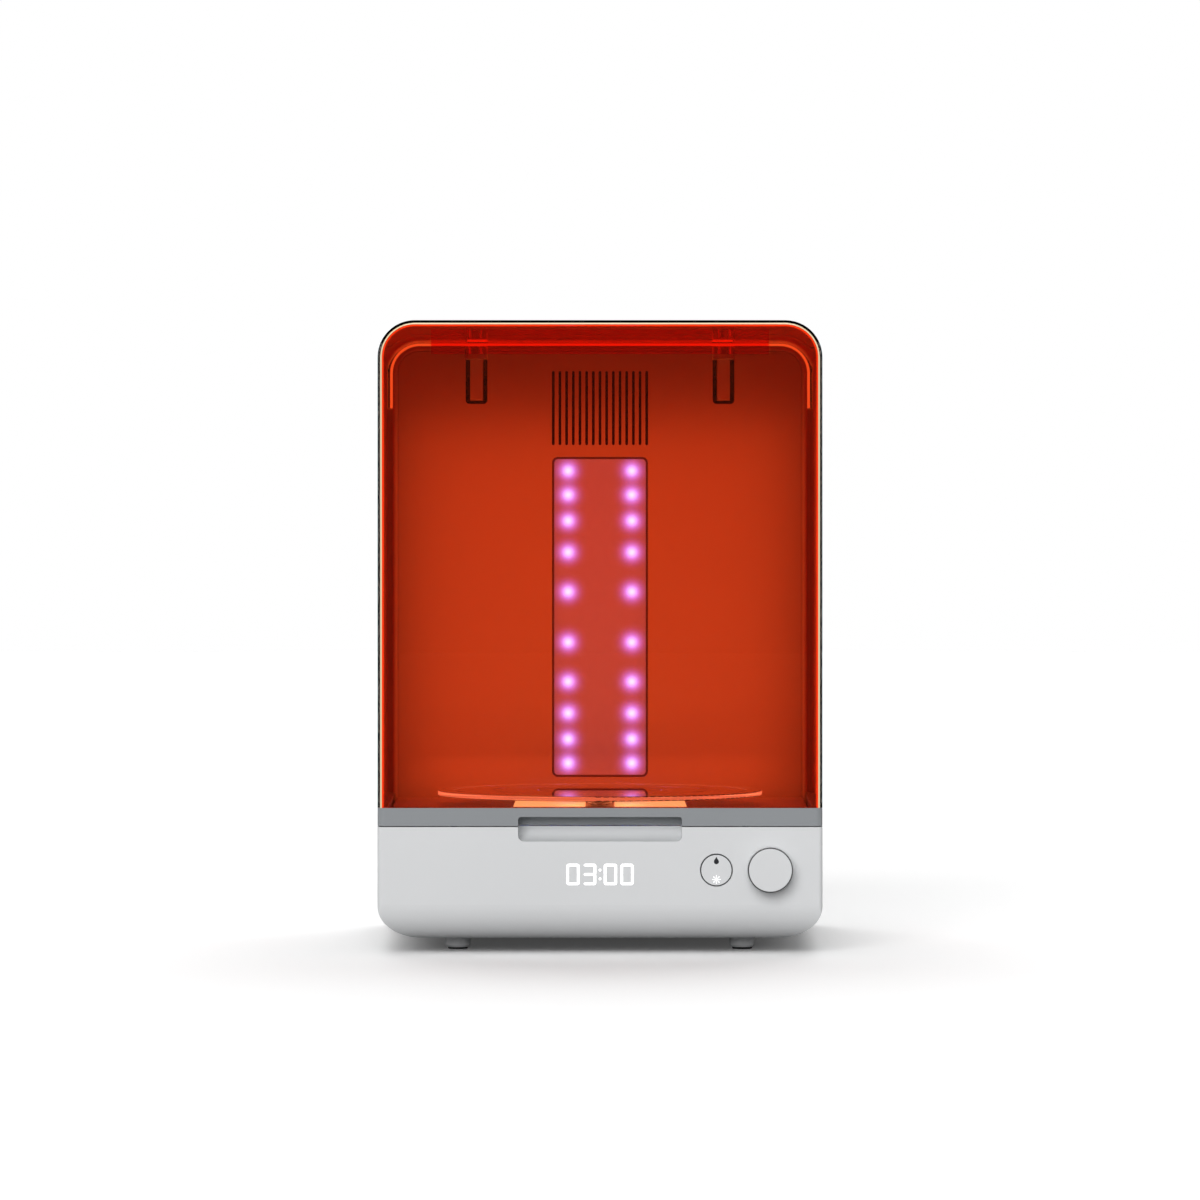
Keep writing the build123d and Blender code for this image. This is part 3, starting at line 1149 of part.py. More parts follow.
def back_wall():
    """Back wall of the chamber: vent slots, lamp window, hinge slots and screw columns."""
    inward = NECK_INSET + HOUSING_WALL + PANEL_GAP
    half = half_width(WALL_Y) - inward
    top = NECK_Z - HOUSING_WALL - PANEL_GAP
    face = arch_section(WALL_BACK_Y, half, DECK_Z, top, HOOD_CORNER - inward)
    wall = extrude(face, WALL_THICK)
    for x, z in housing_boss_places():
        wall += rod_y(WALL_BOSS, WALL_BACK_Y - OVER, HOUSING_BACK_Y, x, z)
        wall -= rod_y(SCREW_SHANK + 2 * FIT, HOUSING_BACK_Y - SCREW_HOLE, HOUSING_BACK_Y + OVER, x, z)
    for x, z in sink_boss_places():
        wall += rod_y(SINK_BOSS, WALL_BACK_Y - OVER, SINK_Y, x, z)
        wall -= rod_y(SMALL_SHANK + 2 * FIT, SINK_Y - SMALL_HOLE, SINK_Y + OVER, x, z)
    vent = along_y(SlotOverall(VENT_HEIGHT, VENT_SLOT, rotation=90), WALL_Y - OVER, WALL_BACK_Y + OVER)
    for column in range(VENT_COUNT):
        wall -= Pos(VENT_PITCH * (column - (VENT_COUNT - 1) / 2), 0, VENT_Z) * vent
    wall -= along_y(window_face(0), WALL_Y - OVER, WALL_BACK_Y + OVER, 0, window_z())
    height = 2 * (HEIGHT - SLOT_BOTTOM_Z)
    slot = along_y(rounded(SLOT_WIDTH, height, SLOT_ROUND), WALL_Y - OVER, WALL_BACK_Y + OVER)
    for x in (-ARM_X, ARM_X):
        wall -= Pos(x, 0, SLOT_BOTTOM_Z + height / 2) * slot
    return wall


def wall_screws():
    """Screws through the housing's rear into the back wall's columns."""
    item = TO_FRONT * screw(SCREW_HEAD, SCREW_SHANK, SCREW_LENGTH)
    return together(Pos(x, REAR_Y, z) * item for x, z in housing_boss_places())


# ---------------------------------------------------------------- lamps behind the wall
def window_seal():
    """Flat seal between the wall and the window pane."""
    ring = window_face(WINDOW_LAP) - window_face(PANEL_GAP)
    return along_y(ring, WALL_BACK_Y, PANE_Y, 0, window_z())


def lamp_window():
    """Window pane behind the wall."""
    return along_y(window_face(WINDOW_LAP), PANE_Y, PANE_Y + WINDOW_THICK, 0, window_z())


def lamp_board():
    """Long lamp board on the heat sink."""
    height = WINDOW_TOP_Z - WINDOW_BOTTOM_Z
    return along_y(rounded(LAMP_BOARD_WIDTH, height, 1), LAMP_BOARD_Y, SINK_Y, 0, window_z())


def lamp_heights():
    """Heights of the lamps in a column, in steps that grow towards the middle."""
    span = WINDOW_TOP_Z - WINDOW_BOTTOM_Z - 2 * LAMP_TO_WINDOW_END
    heights = [WINDOW_TOP_Z - LAMP_TO_WINDOW_END]
    for step in LAMP_STEPS:
        heights.append(heights[-1] - span * step / sum(LAMP_STEPS))
    return heights


def back_lamps():
    """Two columns of lamp chips."""
    chips = []
    for x in (-LAMP_COLUMN_X, LAMP_COLUMN_X):
        for z in lamp_heights():
            chips.append(facing_front(x, LAMP_BOARD_Y, z).location * lamp())
    return together(chips)


def heat_sink():
    """Extruded heat sink: plate, even row of fins and screw holes."""
    height = WINDOW_TOP_Z - WINDOW_BOTTOM_Z
    outline = Pos(0, -SINK_PLATE / 2) * Rectangle(SINK_WIDTH, SINK_PLATE)
    span = LAMP_BOARD_WIDTH - FIN_THICK
    for index in range(SINK_FINS):
        x = span * (index / (SINK_FINS - 1) - 0.5)
        outline += Pos(x, -SINK_PLATE - FIN_HEIGHT / 2) * Rectangle(FIN_THICK, FIN_HEIGHT)
    outline = mirror(outline, about=Plane.XZ)
    sink = Pos(0, SINK_Y, WINDOW_BOTTOM_Z) * extrude(outline, height)
    for x, z in sink_boss_places():
        sink -= rod_y(SMALL_SHANK + 2 * FIT, SINK_Y - OVER, SINK_Y + SINK_PLATE + OVER, x, z)
    return sink


def sink_screws():
    """Screws that hold the heat sink to the wall."""
    item = TO_FRONT * screw(SMALL_HEAD, SMALL_SHANK, SINK_PLATE + SMALL_GRIP)
    y = SINK_Y + SINK_PLATE + SMALL_HEAD[1]
    return together(Pos(x, y, z) * item for x, z in sink_boss_places())


# ---------------------------------------------------------------- warm air
def duct_form(inset):
    """Form of the duct: wide at the vent slots, square at the fan."""
    mouth = rounded(DUCT_MOUTH[0] - 2 * inset, DUCT_MOUTH[1] - 2 * inset, 4 - inset)
    tail = rounded(FAN_SIZE - 2 * inset, FAN_SIZE - 2 * inset, 4 - inset)
    faces = [facing_front(0, WALL_BACK_Y, VENT_Z) * mouth, facing_front(0, DUCT_BACK_Y, VENT_Z) * tail]
    return loft(faces, ruled=True)


def air_duct():
    """Duct from the fan to the vent slots, with bosses for the fan's screws."""
    duct = duct_form(0) - duct_form(DUCT_WALL)
    for x, z in fan_screw_places():
        duct += rod_y(DUCT_BOSS, DUCT_BACK_Y - DUCT_BOSS_LENGTH, DUCT_BACK_Y, x, z) & duct_form(0)
        duct -= rod_y(SMALL_SHANK + 2 * FIT, DUCT_BACK_Y - DUCT_BOSS_LENGTH - OVER, REAR_Y, x, z)
    return duct


def air_heater():
    """Heater block in the duct: two rails with thin fins between them."""
    height = DUCT_MOUTH[1] - 2 * DUCT_WALL
    y = (WALL_BACK_Y + HEATER_SET, WALL_BACK_Y + HEATER_SET + HEATER_DEPTH)
    across = (-HEATER_WIDTH / 2, HEATER_WIDTH / 2)
    low, high = VENT_Z - height / 2, VENT_Z + height / 2
    heater = block(across, y, (low, low + HEATER_RAIL)) + block(across, y, (high - HEATER_RAIL, high))
    for index in range(HEATER_FINS):
        x = (HEATER_WIDTH - HEATER_FIN) * (index / (HEATER_FINS - 1) - 0.5)
        fin = (x - HEATER_FIN / 2, x + HEATER_FIN / 2)
        heater += block(fin, (y[0] + OVER, y[1] - OVER), (low + OVER, high - OVER))
    return heater


def fan_screw_places():
    """Corner screws of the fan."""
    reach = FAN_SIZE / 2 - FAN_SCREW_INSET
    return [(x, VENT_Z + z) for x in (-reach, reach) for z in (-reach, reach)]


def fan_frame():
    """Fan frame with round bore, four struts and a bearing post."""
    front, rear = DUCT_BACK_Y, DUCT_BACK_Y + FAN_DEPTH
    frame = along_y(rounded(FAN_SIZE, FAN_SIZE, FAN_CORNER), front, rear, 0, VENT_Z)
    frame -= rod_y(FAN_BORE, front - OVER, rear + OVER, 0, VENT_Z)
    width, thick = FAN_STRUT
    for size in ((FAN_BORE + 2 * OVER, width), (width, FAN_BORE + 2 * OVER)):
        frame += along_y(Rectangle(*size), rear - thick, rear, 0, VENT_Z)
    frame += rod_y(FAN_PLATE, rear - thick, rear, 0, VENT_Z)
    frame += rod_y(2 * FAN_SHAFT, front + FAN_POST_SET, rear - OVER, 0, VENT_Z)
    frame -= rod_y(FAN_SHAFT + 2 * FIT, front + FAN_POST_SET - OVER, rear + OVER, 0, VENT_Z)
    for x, z in fan_screw_places():
        frame -= rod_y(SMALL_SHANK + 4 * FIT, front - OVER, rear + OVER, x, z)
    return frame


def fan_blade(front, rear):
    """One twisted blade, standing up from the hub."""
    tip, root = FAN_BORE / 2 - BLADE_GAP, FAN_HUB / 2 - BLADE_ROOT_DEPTH
    middle = (front + rear) / 2
    sections = []
    for radius, pitch in ((root, BLADE_PITCH), (tip, BLADE_PITCH + BLADE_TWIST)):
        chord = (rear - front - OVER) / cos(radians(pitch))
        plane = Plane(origin=(0, middle, VENT_Z + radius), x_dir=(0, 1, 0), z_dir=(0, 0, 1))
        sections.append(plane * Rot(0, 0, pitch) * Rectangle(chord, BLADE_THICK))
    blade = loft(sections, ruled=True)
    return blade & rod_y(2 * tip, front + BLADE_INSET, rear - BLADE_INSET, 0, VENT_Z)


def fan_rotor():
    """Fan rotor: cup hub, shaft and twisted blades."""
    front = DUCT_BACK_Y + FAN_ROTOR_SET
    rear = front + FAN_ROTOR_DEPTH
    rotor = rod_y(FAN_HUB, front, rear, 0, VENT_Z)
    rotor = fillet(rotor.edges().group_by(Axis.Y)[0], FAN_CUP_WALL - 2 * FIT)
    rotor -= rod_y(FAN_HUB - 2 * FAN_CUP_WALL, front + FAN_CUP_SKIN, rear + OVER, 0, VENT_Z)
    shaft_end = DUCT_BACK_Y + FAN_DEPTH - FAN_SHAFT_SET_BACK
    rotor += rod_y(FAN_SHAFT, front + FAN_CUP_SKIN / 2, shaft_end, 0, VENT_Z)
    blade = Pos(0, 0, -VENT_Z) * fan_blade(front, rear)
    for index in range(FAN_BLADES):
        rotor += Pos(0, 0, VENT_Z) * Rot(0, 360 * index / FAN_BLADES, 0) * blade
    return rotor


def fan_screws():
    """Screws through the fan into the duct's corners."""
    item = TO_FRONT * screw(SMALL_HEAD, SMALL_SHANK, FAN_DEPTH + DUCT_BOSS_LENGTH / 2)
    y = DUCT_BACK_Y + FAN_DEPTH + SMALL_HEAD[1]
    return together(Pos(x, y, z) * item for x, z in fan_screw_places())


# ---------------------------------------------------------------- front panel
def timer_window():
    """Diffuser behind the thinned front wall."""
    size = (TIMER_POCKET[0] - 4 * FIT, TIMER_POCKET[1] - 4 * FIT)
    pane = rounded(*size, TIMER_ROUND - 2 * FIT)
    return along_y(pane, FRONT_Y + TIMER_SKIN + FIT, PANEL_INSIDE_Y, 0, TIMER_Z)


def timer_block():
    """Four-digit lamp block on the panel board."""
    return along_y(rounded(*TIMER_BLOCK, 1), PANEL_INSIDE_Y, PANEL_BOARD_Y, 0, TIMER_Z)


def panel_board():
    """Board behind the front wall for timer, button and encoder."""
    x, z = (PANEL_BOARD_LEFT, PANEL_BOARD_RIGHT), (PANEL_BOARD_BOTTOM_Z, PANEL_BOARD_TOP_Z)
    face = rounded(x[1] - x[0], z[1] - z[0], PANEL_BOARD_ROUND)
    board = along_y(face, PANEL_BOARD_Y, PANEL_BOARD_Y + BOARD_THICK, sum(x) / 2, sum(z) / 2)
    depth = (PANEL_BOARD_Y - OVER, PANEL_BOARD_Y + BOARD_THICK + OVER)
    for post_x, post_z in PANEL_POSTS:
        board -= rod_y(SMALL_SHANK + 2 * FIT, *depth, post_x, post_z)
    return board


def panel_screws():
    """Screws that hold the panel board to its posts."""
    item = TO_FRONT * screw(SMALL_HEAD, SMALL_SHANK, BOARD_THICK + SMALL_GRIP)
    y = PANEL_BOARD_Y + BOARD_THICK + SMALL_HEAD[1]
    return together(Pos(x, y, z) * item for x, z in PANEL_POSTS)


def button_switch():
    """Push switch behind the mode button."""
    body = along_y(rounded(SWITCH[0], SWITCH[0], 0.5), PANEL_BOARD_Y - SWITCH[1], PANEL_BOARD_Y)
    plunger_end = PANEL_BOARD_Y - SWITCH[1] - SWITCH_PLUNGER[1]
    body += rod_y(SWITCH_PLUNGER[0], plunger_end, PANEL_BOARD_Y - OVER, 0, 0)
    return Pos(BUTTON_X, 0, BUTTON_Z) * body


def button_cap():
    """Mode button: round cap, stop flange behind the wall and a stem to the switch."""
    face_y = FRONT_Y - BUTTON_PROUD
    flange_y = PANEL_INSIDE_Y + FIT
    stem_end = PANEL_BOARD_Y - SWITCH[1] - SWITCH_PLUNGER[1] - BUTTON_TRAVEL - 2 * FIT
    cap = rod_y(BUTTON, face_y, flange_y + BUTTON_FLANGE[1], BUTTON_X, BUTTON_Z)
    cap = fillet(cap.edges().group_by(Axis.Y)[0], BUTTON_PROUD)
    cap += rod_y(BUTTON_FLANGE[0], flange_y, flange_y + BUTTON_FLANGE[1], BUTTON_X, BUTTON_Z)
    cap += rod_y(BUTTON_STEM, flange_y, stem_end, BUTTON_X, BUTTON_Z)
    return cap


def encoder_body():
    """Encoder on the panel board: square body, bushing and a chamber for its rotor."""
    body = along_y(rounded(ENCODER[0], ENCODER[0], 0.6), ENCODER_FACE_Y, PANEL_BOARD_Y)
    body += rod_y(ENCODER_BUSHING[0], BUSHING_Y, ENCODER_FACE_Y + OVER, 0, 0)
    body -= rod_y(ENCODER_SHAFT + 2 * FIT, BUSHING_Y - OVER, ROTOR_Y, 0, 0)
    body -= rod_y(ENCODER_ROTOR[0] + 4 * FIT, ROTOR_Y - FIT, ROTOR_Y + ENCODER_ROTOR[1] + FIT, 0, 0)
    body -= rod_y(ENCODER_TAIL + 4 * FIT, ROTOR_Y, PANEL_BOARD_Y - ENCODER_END_WALL, 0, 0)
    return Pos(KNOB_X, 0, KNOB_Z) * body


def encoder_nut():
    """Nut that holds the encoder to the front wall."""
    nut = RegularPolygon(NUT[0] / 2, 6) - Circle(ENCODER_BUSHING[0] / 2 + FIT)
    return along_y(nut, NUT_Y, FRONT_Y, KNOB_X, KNOB_Z)


def tail_face(grow):
    """Section of the encoder shaft's tail, with a flat that turns the rotor."""
    radius = ENCODER_TAIL / 2 + grow
    return Circle(radius) - Pos(0, 2 * radius - ENCODER_TAIL_FLAT + grow) * Rectangle(4 * radius, 2 * radius)


def encoder_rotor():
    """Code wheel that the knob turns and slides in."""
    wheel = Circle(ENCODER_ROTOR[0] / 2) - tail_face(FIT)
    return along_y(wheel, ROTOR_Y, ROTOR_Y + ENCODER_ROTOR[1], KNOB_X, KNOB_Z)


def encoder_shaft():
    """Shaft from the knob through the bushing, with a tail in the rotor."""
    shoulder = ROTOR_Y - KNOB_TRAVEL - 2 * FIT
    shaft = rod_y(ENCODER_SHAFT, KNOB_FACE_Y + KNOB_SKIN + FIT, shoulder, KNOB_X, KNOB_Z)
    tail_end = ROTOR_Y + ENCODER_ROTOR[1] + ENCODER_TAIL_SHOW
    return shaft + along_y(tail_face(0), shoulder - OVER, tail_end, KNOB_X, KNOB_Z)


def knob_cap():
    """Knob: turned cup with rounded front edge, hollow back and a boss for the shaft."""
    knob = rod_y(KNOB, KNOB_FACE_Y, KNOB_BACK_Y, KNOB_X, KNOB_Z)
    knob = fillet(knob.edges().group_by(Axis.Y)[0], KNOB_EDGE)
    inner = KNOB_FACE_Y + KNOB_SKIN
    knob -= rod_y(KNOB - 2 * KNOB_SIDE, inner, KNOB_BACK_Y + OVER, KNOB_X, KNOB_Z)
    boss_end = min(BUSHING_Y, NUT_Y) - 2 * KNOB_TRAVEL
    knob += rod_y(KNOB_BOSS, inner - OVER, boss_end, KNOB_X, KNOB_Z)
    return knob - rod_y(ENCODER_SHAFT + 2 * FIT, inner, KNOB_BACK_Y, KNOB_X, KNOB_Z)


# ---------------------------------------------------------------- electrics in the base
def on_board(size, place):
    """Block on the control board, placed from the board's left edge and its middle row."""
    x, y = CONTROL_BOARD_LEFT + place[0], CONTROL_BOARD_CENTRE[1] + place[1]
    top = BOARD_Z + BOARD_THICK
    return block((x, x + size[0]), (y, y + size[1]), (top - SOLDER_DEPTH, top + size[2]))


def control_board():
    """Control board with its connectors, capacitors, relay and driver heat spreader."""
    x, y = CONTROL_BOARD_CENTRE
    top = BOARD_Z + BOARD_THICK
    board = Pos(x, y, BOARD_Z) * extrude(rounded(*CONTROL_BOARD, BOARD_CORNER), BOARD_THICK)
    left, up = CONNECTOR_PLACE
    pitch = (CONTROL_BOARD[0] - left - CONNECTOR[0] - CONNECTOR_TO_RIGHT) / (CONNECTOR_COUNT - 1)
    for column in range(CONNECTOR_COUNT):
        board += on_board(CONNECTOR, (left + pitch * column, up))
    board += on_board(RELAY, RELAY_PLACE)
    board += on_board(SPREADER, SPREADER_PLACE)
    diameter, height = CAPACITOR
    for inset in CAPACITORS_TO_RIGHT:
        right, row = CONTROL_BOARD_RIGHT - inset, y + CAPACITOR_ROW
        board += rod_z(diameter, top - SOLDER_DEPTH, top + height, right, row)
    for place_x, place_y in standoff_places()[:4]:
        board -= rod_z(SMALL_SHANK + 2 * FIT, BOARD_Z - OVER, top + OVER, place_x, place_y)
    return board


def power_supply():
    """Boxed power supply with rounded edges, vent slots and mounting corners."""
    width, length, height = SUPPLY
    box = extrude(rounded(width, length, BOARD_CORNER), height)
    box = fillet(box.edges().group_by(Axis.Z)[-1], SUPPLY_ROUND)
    corner = 4 * STANDOFF[0]
    for x in (-width / 2, width / 2):
        for y in (-length / 2, length / 2):
            box -= Pos(x, y, BOARD_THICK + height / 2) * Box(corner, corner, height)
    slot = SlotOverall(width - 2 * SUPPLY_SLOT_EDGE, SUPPLY_SLOT[0])
    slot = Pos(0, 0, height) * extrude(slot, SUPPLY_SLOT[1], both=True)
    for row in range(SUPPLY_SLOT_ROWS):
        box -= Pos(0, SUPPLY_SLOT_PITCH * (row - (SUPPLY_SLOT_ROWS - 1) / 2), 0) * slot
    box = Pos(*SUPPLY_CENTRE, BOARD_Z) * box
    for x, y in standoff_places()[4:]:
        box -= rod_z(SMALL_SHANK + 2 * FIT, BOARD_Z - OVER, BOARD_Z + 2 * BOARD_THICK, x, y)
    return box


def board_screws():
    """Screws that hold the control board and the power supply to the standoffs."""
    item = screw(SMALL_HEAD, SMALL_SHANK, BOARD_THICK + SMALL_LENGTH)
    z = BOARD_Z + BOARD_THICK + SMALL_HEAD[1]
    return together(Pos(x, y, z) * item for x, y in standoff_places())


def power_inlet():
    """Appliance inlet in the rear of the base: bezel, body, mouth and three blades."""
    width, height, bezel = INLET_BEZEL
    inlet = along_y(rounded(width, height, 1.8), REAR_Y - bezel, REAR_Y)
    inlet += along_y(rounded(*INLET_BODY[:2], 0.9), REAR_Y - INLET_BODY[2], REAR_Y - OVER)
    mouth = Rectangle(*INLET_MOUTH[:2])
    mouth = chamfer(mouth.vertices().group_by(Axis.Y)[-1], INLET_MOUTH_CHAMFER)
    inlet -= along_y(mouth, REAR_Y - INLET_MOUTH[2], REAR_Y + OVER)
    blade_y = (REAR_Y - INLET_MOUTH[2] - OVER, REAR_Y - INLET_BLADE_SET_BACK)
    for x, z in INLET_BLADE_PLACES:
        inlet += along_y(Rectangle(*INLET_BLADE), *blade_y, x, z)
    return Pos(INLET_X, 0, INLET_Z) * inlet


def lid_sensor():
    """Magnet sensor under the deck."""
    x, y, z = SENSOR
    return Pos(MAGNET_X, magnet_y(), DECK_Z - BASE_WALL - z / 2) * Box(x, y, z)


# ---------------------------------------------------------------- write every piece
PIECES = [
    base_shell,
    bottom_plate,
    feet,
    foot_pads,
    base_screws,
    chamber_floor,
    floor_panes,
    floor_lamp_board,
    floor_lamps,
    motor_bracket,
    turntable_motor,
    drive_screws,
    turntable_glass,
    turntable_hub,
    drive_shaft,
    hood_shell,
    hood_rail,
    rail_bumpers,
    lid_magnet,
    hinge_bar,
    hinge_arms,
    arm_screws,
    arm_bushes,
    hinge_brackets,
    bracket_screws,
    hinge_pins,
    pin_clips,
    rear_housing,
    housing_screws,
    back_wall,
    wall_screws,
    window_seal,
    lamp_window,
    lamp_board,
    back_lamps,
    heat_sink,
    sink_screws,
    air_duct,
    air_heater,
    fan_frame,
    fan_rotor,
    fan_screws,
    timer_window,
    timer_block,
    panel_board,
    panel_screws,
    button_switch,
    button_cap,
    encoder_body,
    encoder_nut,
    encoder_rotor,
    encoder_shaft,
    knob_cap,
    control_board,
    power_supply,
    board_screws,
    power_inlet,
    lid_sensor,
]

for piece in PIECES:
    export_step(piece(), f"parts/{piece.__name__}.step")
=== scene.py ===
from math import cos, pi, radians, sin

import bmesh
import bpy
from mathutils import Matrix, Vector


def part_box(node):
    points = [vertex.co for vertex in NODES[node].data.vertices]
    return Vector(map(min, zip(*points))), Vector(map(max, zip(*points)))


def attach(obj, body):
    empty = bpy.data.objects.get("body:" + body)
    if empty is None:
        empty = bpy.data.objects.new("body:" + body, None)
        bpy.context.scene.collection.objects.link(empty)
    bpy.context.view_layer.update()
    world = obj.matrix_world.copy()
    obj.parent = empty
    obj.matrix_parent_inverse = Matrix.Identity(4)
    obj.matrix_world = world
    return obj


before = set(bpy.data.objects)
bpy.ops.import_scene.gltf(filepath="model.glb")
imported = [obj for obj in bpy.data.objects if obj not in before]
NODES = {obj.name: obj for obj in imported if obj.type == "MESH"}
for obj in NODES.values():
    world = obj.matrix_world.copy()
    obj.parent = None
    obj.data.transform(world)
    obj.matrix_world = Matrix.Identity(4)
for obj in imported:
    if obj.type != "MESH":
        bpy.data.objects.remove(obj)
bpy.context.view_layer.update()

BLACK = (0.0, 0.0, 0.0)
WHITE = (1.0, 1.0, 1.0)

bl_info = {
    "name": "Light curing unit dressing",
    "version": (1, 0, 0),
    "blender": (4, 5, 0),
    "location": "3D View > Sidebar > Curing unit",
    "description": "Finishes, lit lamps, timer digits and studio for a bench light curing unit",
    "category": "Object",
}


# ---------------------------------------------------------------- shader arithmetic


class Value:
    """A number socket that takes part in plain arithmetic; each operation adds a Math node."""

    def __init__(self, tree, socket):
        self.tree = tree
        self.socket = socket

    def worked(self, operation, *items):
        """Math node over the items in their order."""
        node = self.tree.nodes.new("ShaderNodeMath")
        node.operation = operation
        for place, item in enumerate(items):
            connect(self.tree, node.inputs[place], item)
        return Value(self.tree, node.outputs[0])

    def math(self, operation, *others):
        """Math node over this value and the others."""
        return self.worked(operation, self, *others)

    def __add__(self, other):
        return self.math("ADD", other)

    def __sub__(self, other):
        return self.math("SUBTRACT", other)

    def __rsub__(self, other):
        return self.worked("SUBTRACT", other, self)

    def __mul__(self, other):
        return self.math("MULTIPLY", other)

    def __truediv__(self, other):
        return self.math("DIVIDE", other)

    def __rtruediv__(self, other):
        return self.worked("DIVIDE", other, self)

    __radd__ = __add__
    __rmul__ = __mul__

    def size(self):
        """The value without its sign."""
        return self.math("ABSOLUTE")

    def clamped(self):
        """The value held between 0 and 1."""
        return self.math("MAXIMUM", 0.0).math("MINIMUM", 1.0)

    def at_least(self, other):
        """The larger of the two values."""
        return self.math("MAXIMUM", other)

    def over(self, limit):
        """One where the value is above the limit, and nothing elsewhere."""
        return self.math("GREATER_THAN", limit)

    def between(self, low, high):
        """One where the value lies between two limits, and nothing elsewhere."""
        return self.over(low) * (1.0 - self.over(high))


def beyond(across, along, radius):
    """One where a point is farther than the radius from the middle, and nothing elsewhere."""
    return ((across * across) + (along * along)).over(radius * radius)


def connect(tree, socket, item):
    """Links a socket to a value or another socket, or sets it to a plain number or colour."""
    if isinstance(item, Value):
        tree.links.new(item.socket, socket)
    elif isinstance(item, bpy.types.NodeSocket):
        tree.links.new(item, socket)
    elif isinstance(item, (int, float)):
        socket.default_value = item
    else:
        wanted = len(socket.default_value)
        socket.default_value = (*item, 1.0)[:wanted]


# places of the colour sockets on a Mix node
COLOUR_FACTOR, COLOUR_A, COLOUR_B, COLOUR_RESULT = 0, 6, 7, 2


class Recipe:
    """A material that is put together node by node."""

    def __init__(self, name):
        self.material = bpy.data.materials.new(name)
        self.material.use_nodes = True
        self.tree = self.material.node_tree
        self.tree.nodes.clear()
        self.output = self.tree.nodes.new("ShaderNodeOutputMaterial")

    def node(self, kind, settings=(), sockets=()):
        """Node of a type, with its settings first and then its sockets."""
        node = self.tree.nodes.new("ShaderNode" + kind)
        for name, setting in dict(settings).items():
            setattr(node, name, setting)
        for name, item in dict(sockets).items():
            connect(self.tree, node.inputs[name], item)
        return node

    def number(self, socket):
        """A socket as a value for arithmetic."""
        return Value(self.tree, socket)

    def place(self):
        """Place on the piece at rest, in metres, as a vector socket."""
        return self.node("TexCoord").outputs["Object"]

    def along(self):
        """Place on the piece as three separate values."""
        split = self.node("SeparateXYZ", sockets={"Vector": self.place()})
        return [self.number(split.outputs[axis]) for axis in "XYZ"]

    def stretched(self, x=1.0, y=1.0, z=1.0):
        """Place on the piece, stretched along the axes."""
        return self.node("Mapping", sockets={"Vector": self.place(), "Scale": (x, y, z)}).outputs[0]

    def noise(self, per_metre, detail=2.0, place=None):
        """Smooth random value; per_metre says how many lumps there are in a metre."""
        sockets = {"Vector": place or self.place(), "Scale": per_metre, "Detail": detail}
        return self.number(self.node("TexNoise", sockets=sockets).outputs["Fac"])

    def blend(self, factor, first, second):
        """Colour between two colours."""
        sockets = {COLOUR_FACTOR: factor, COLOUR_A: first, COLOUR_B: second}
        return self.node("Mix", {"data_type": "RGBA"}, sockets).outputs[COLOUR_RESULT]

    def bump(self, height, strength, depth):
        """Normal for a small relief; depth is in metres."""
        sockets = {"Height": height, "Strength": strength, "Distance": depth}
        return self.node("Bump", sockets=sockets).outputs[0]

    def surface(self, sockets):
        """Principled shader."""
        return self.node("BsdfPrincipled", sockets=sockets).outputs[0]

    def diffuse(self, level):
        """Dull shader of an even grey."""
        return self.node("BsdfDiffuse", sockets={"Color": (level,) * 3}).outputs[0]

    def ray(self, kind):
        """One where the shader is asked by that kind of ray, or how often it was scattered."""
        return self.number(self.node("LightPath").outputs[kind])

    def letting_light_pass(self, solid, tint):
        """A clear shader that lets light from lamps pass with a tint."""
        passed = self.node("BsdfTransparent", sockets={"Color": tint}).outputs[0]
        return self.mixed(self.ray("Is Shadow Ray"), solid, passed)

    def mixed(self, factor, first, second):
        """Two shaders mixed by a factor."""
        return self.node("MixShader", sockets={0: factor, 1: first, 2: second}).outputs[0]

    def finished(self, shader):
        """The material, showing this shader."""
        connect(self.tree, self.output.inputs["Surface"], shader)
        return self.material


def lighter(colour, share):
    """A colour multiplied by a share."""
    return tuple(min(part * share, 1.0) for part in colour[:3])


# ---------------------------------------------------------------- finishes


def moulded_plastic(name, colour, roughness, grain_depth, marks=0.05, ring=None, lining=None):
    """Moulded plastic: fine spark-eroded grain, a little uneven in colour and sheen.

    A ring is a colour, a middle seen from the front, a radius and a depth: the plastic has that colour
    outside the radius and in front of the depth, painted shade for the dark edge and gap round a round face.
    A lining is a colour for the inside of a housing, painted shade that keeps it dark: between two sides,
    behind a depth and within a round."""
    mat = Recipe(name)
    cloud = mat.noise(per_metre=9.0, detail=3.0)
    grain = mat.noise(per_metre=2400.0)
    tint = mat.blend(cloud, lighter(colour, 0.975), lighter(colour, 1.02))
    # Painted shade: a dark ring round a round face.
    if ring:
        shade, (middle_x, middle_z), radius, depth = ring
        x, y, z = mat.along()
        edge = beyond(x - middle_x, z - middle_z, radius) * (1.0 - y.over(depth))
        tint = mat.blend(edge, tint, shade)
    # Painted shade: the inside of the housing takes the dark colour.
    if lining:
        shade, half_width, start, centre_y, centre_z, radius = lining
        x, y, z = mat.along()
        shell = beyond((y - centre_y).at_least(0.0), (z - centre_z).at_least(0.0), radius)
        outside = x.size().over(half_width).at_least(1.0 - y.over(start)).at_least(shell)
        tint = mat.blend(outside, shade, tint)
    grain_marks = 0.06
    sheen = (cloud * marks) + (grain * grain_marks) + (roughness - (marks + grain_marks) / 2)
    sockets = {
        "Base Color": tint,
        "Roughness": sheen,
        "IOR": 1.46,
        "Normal": mat.bump(grain, strength=0.25, depth=grain_depth),
    }
    return mat.finished(mat.surface(sockets))


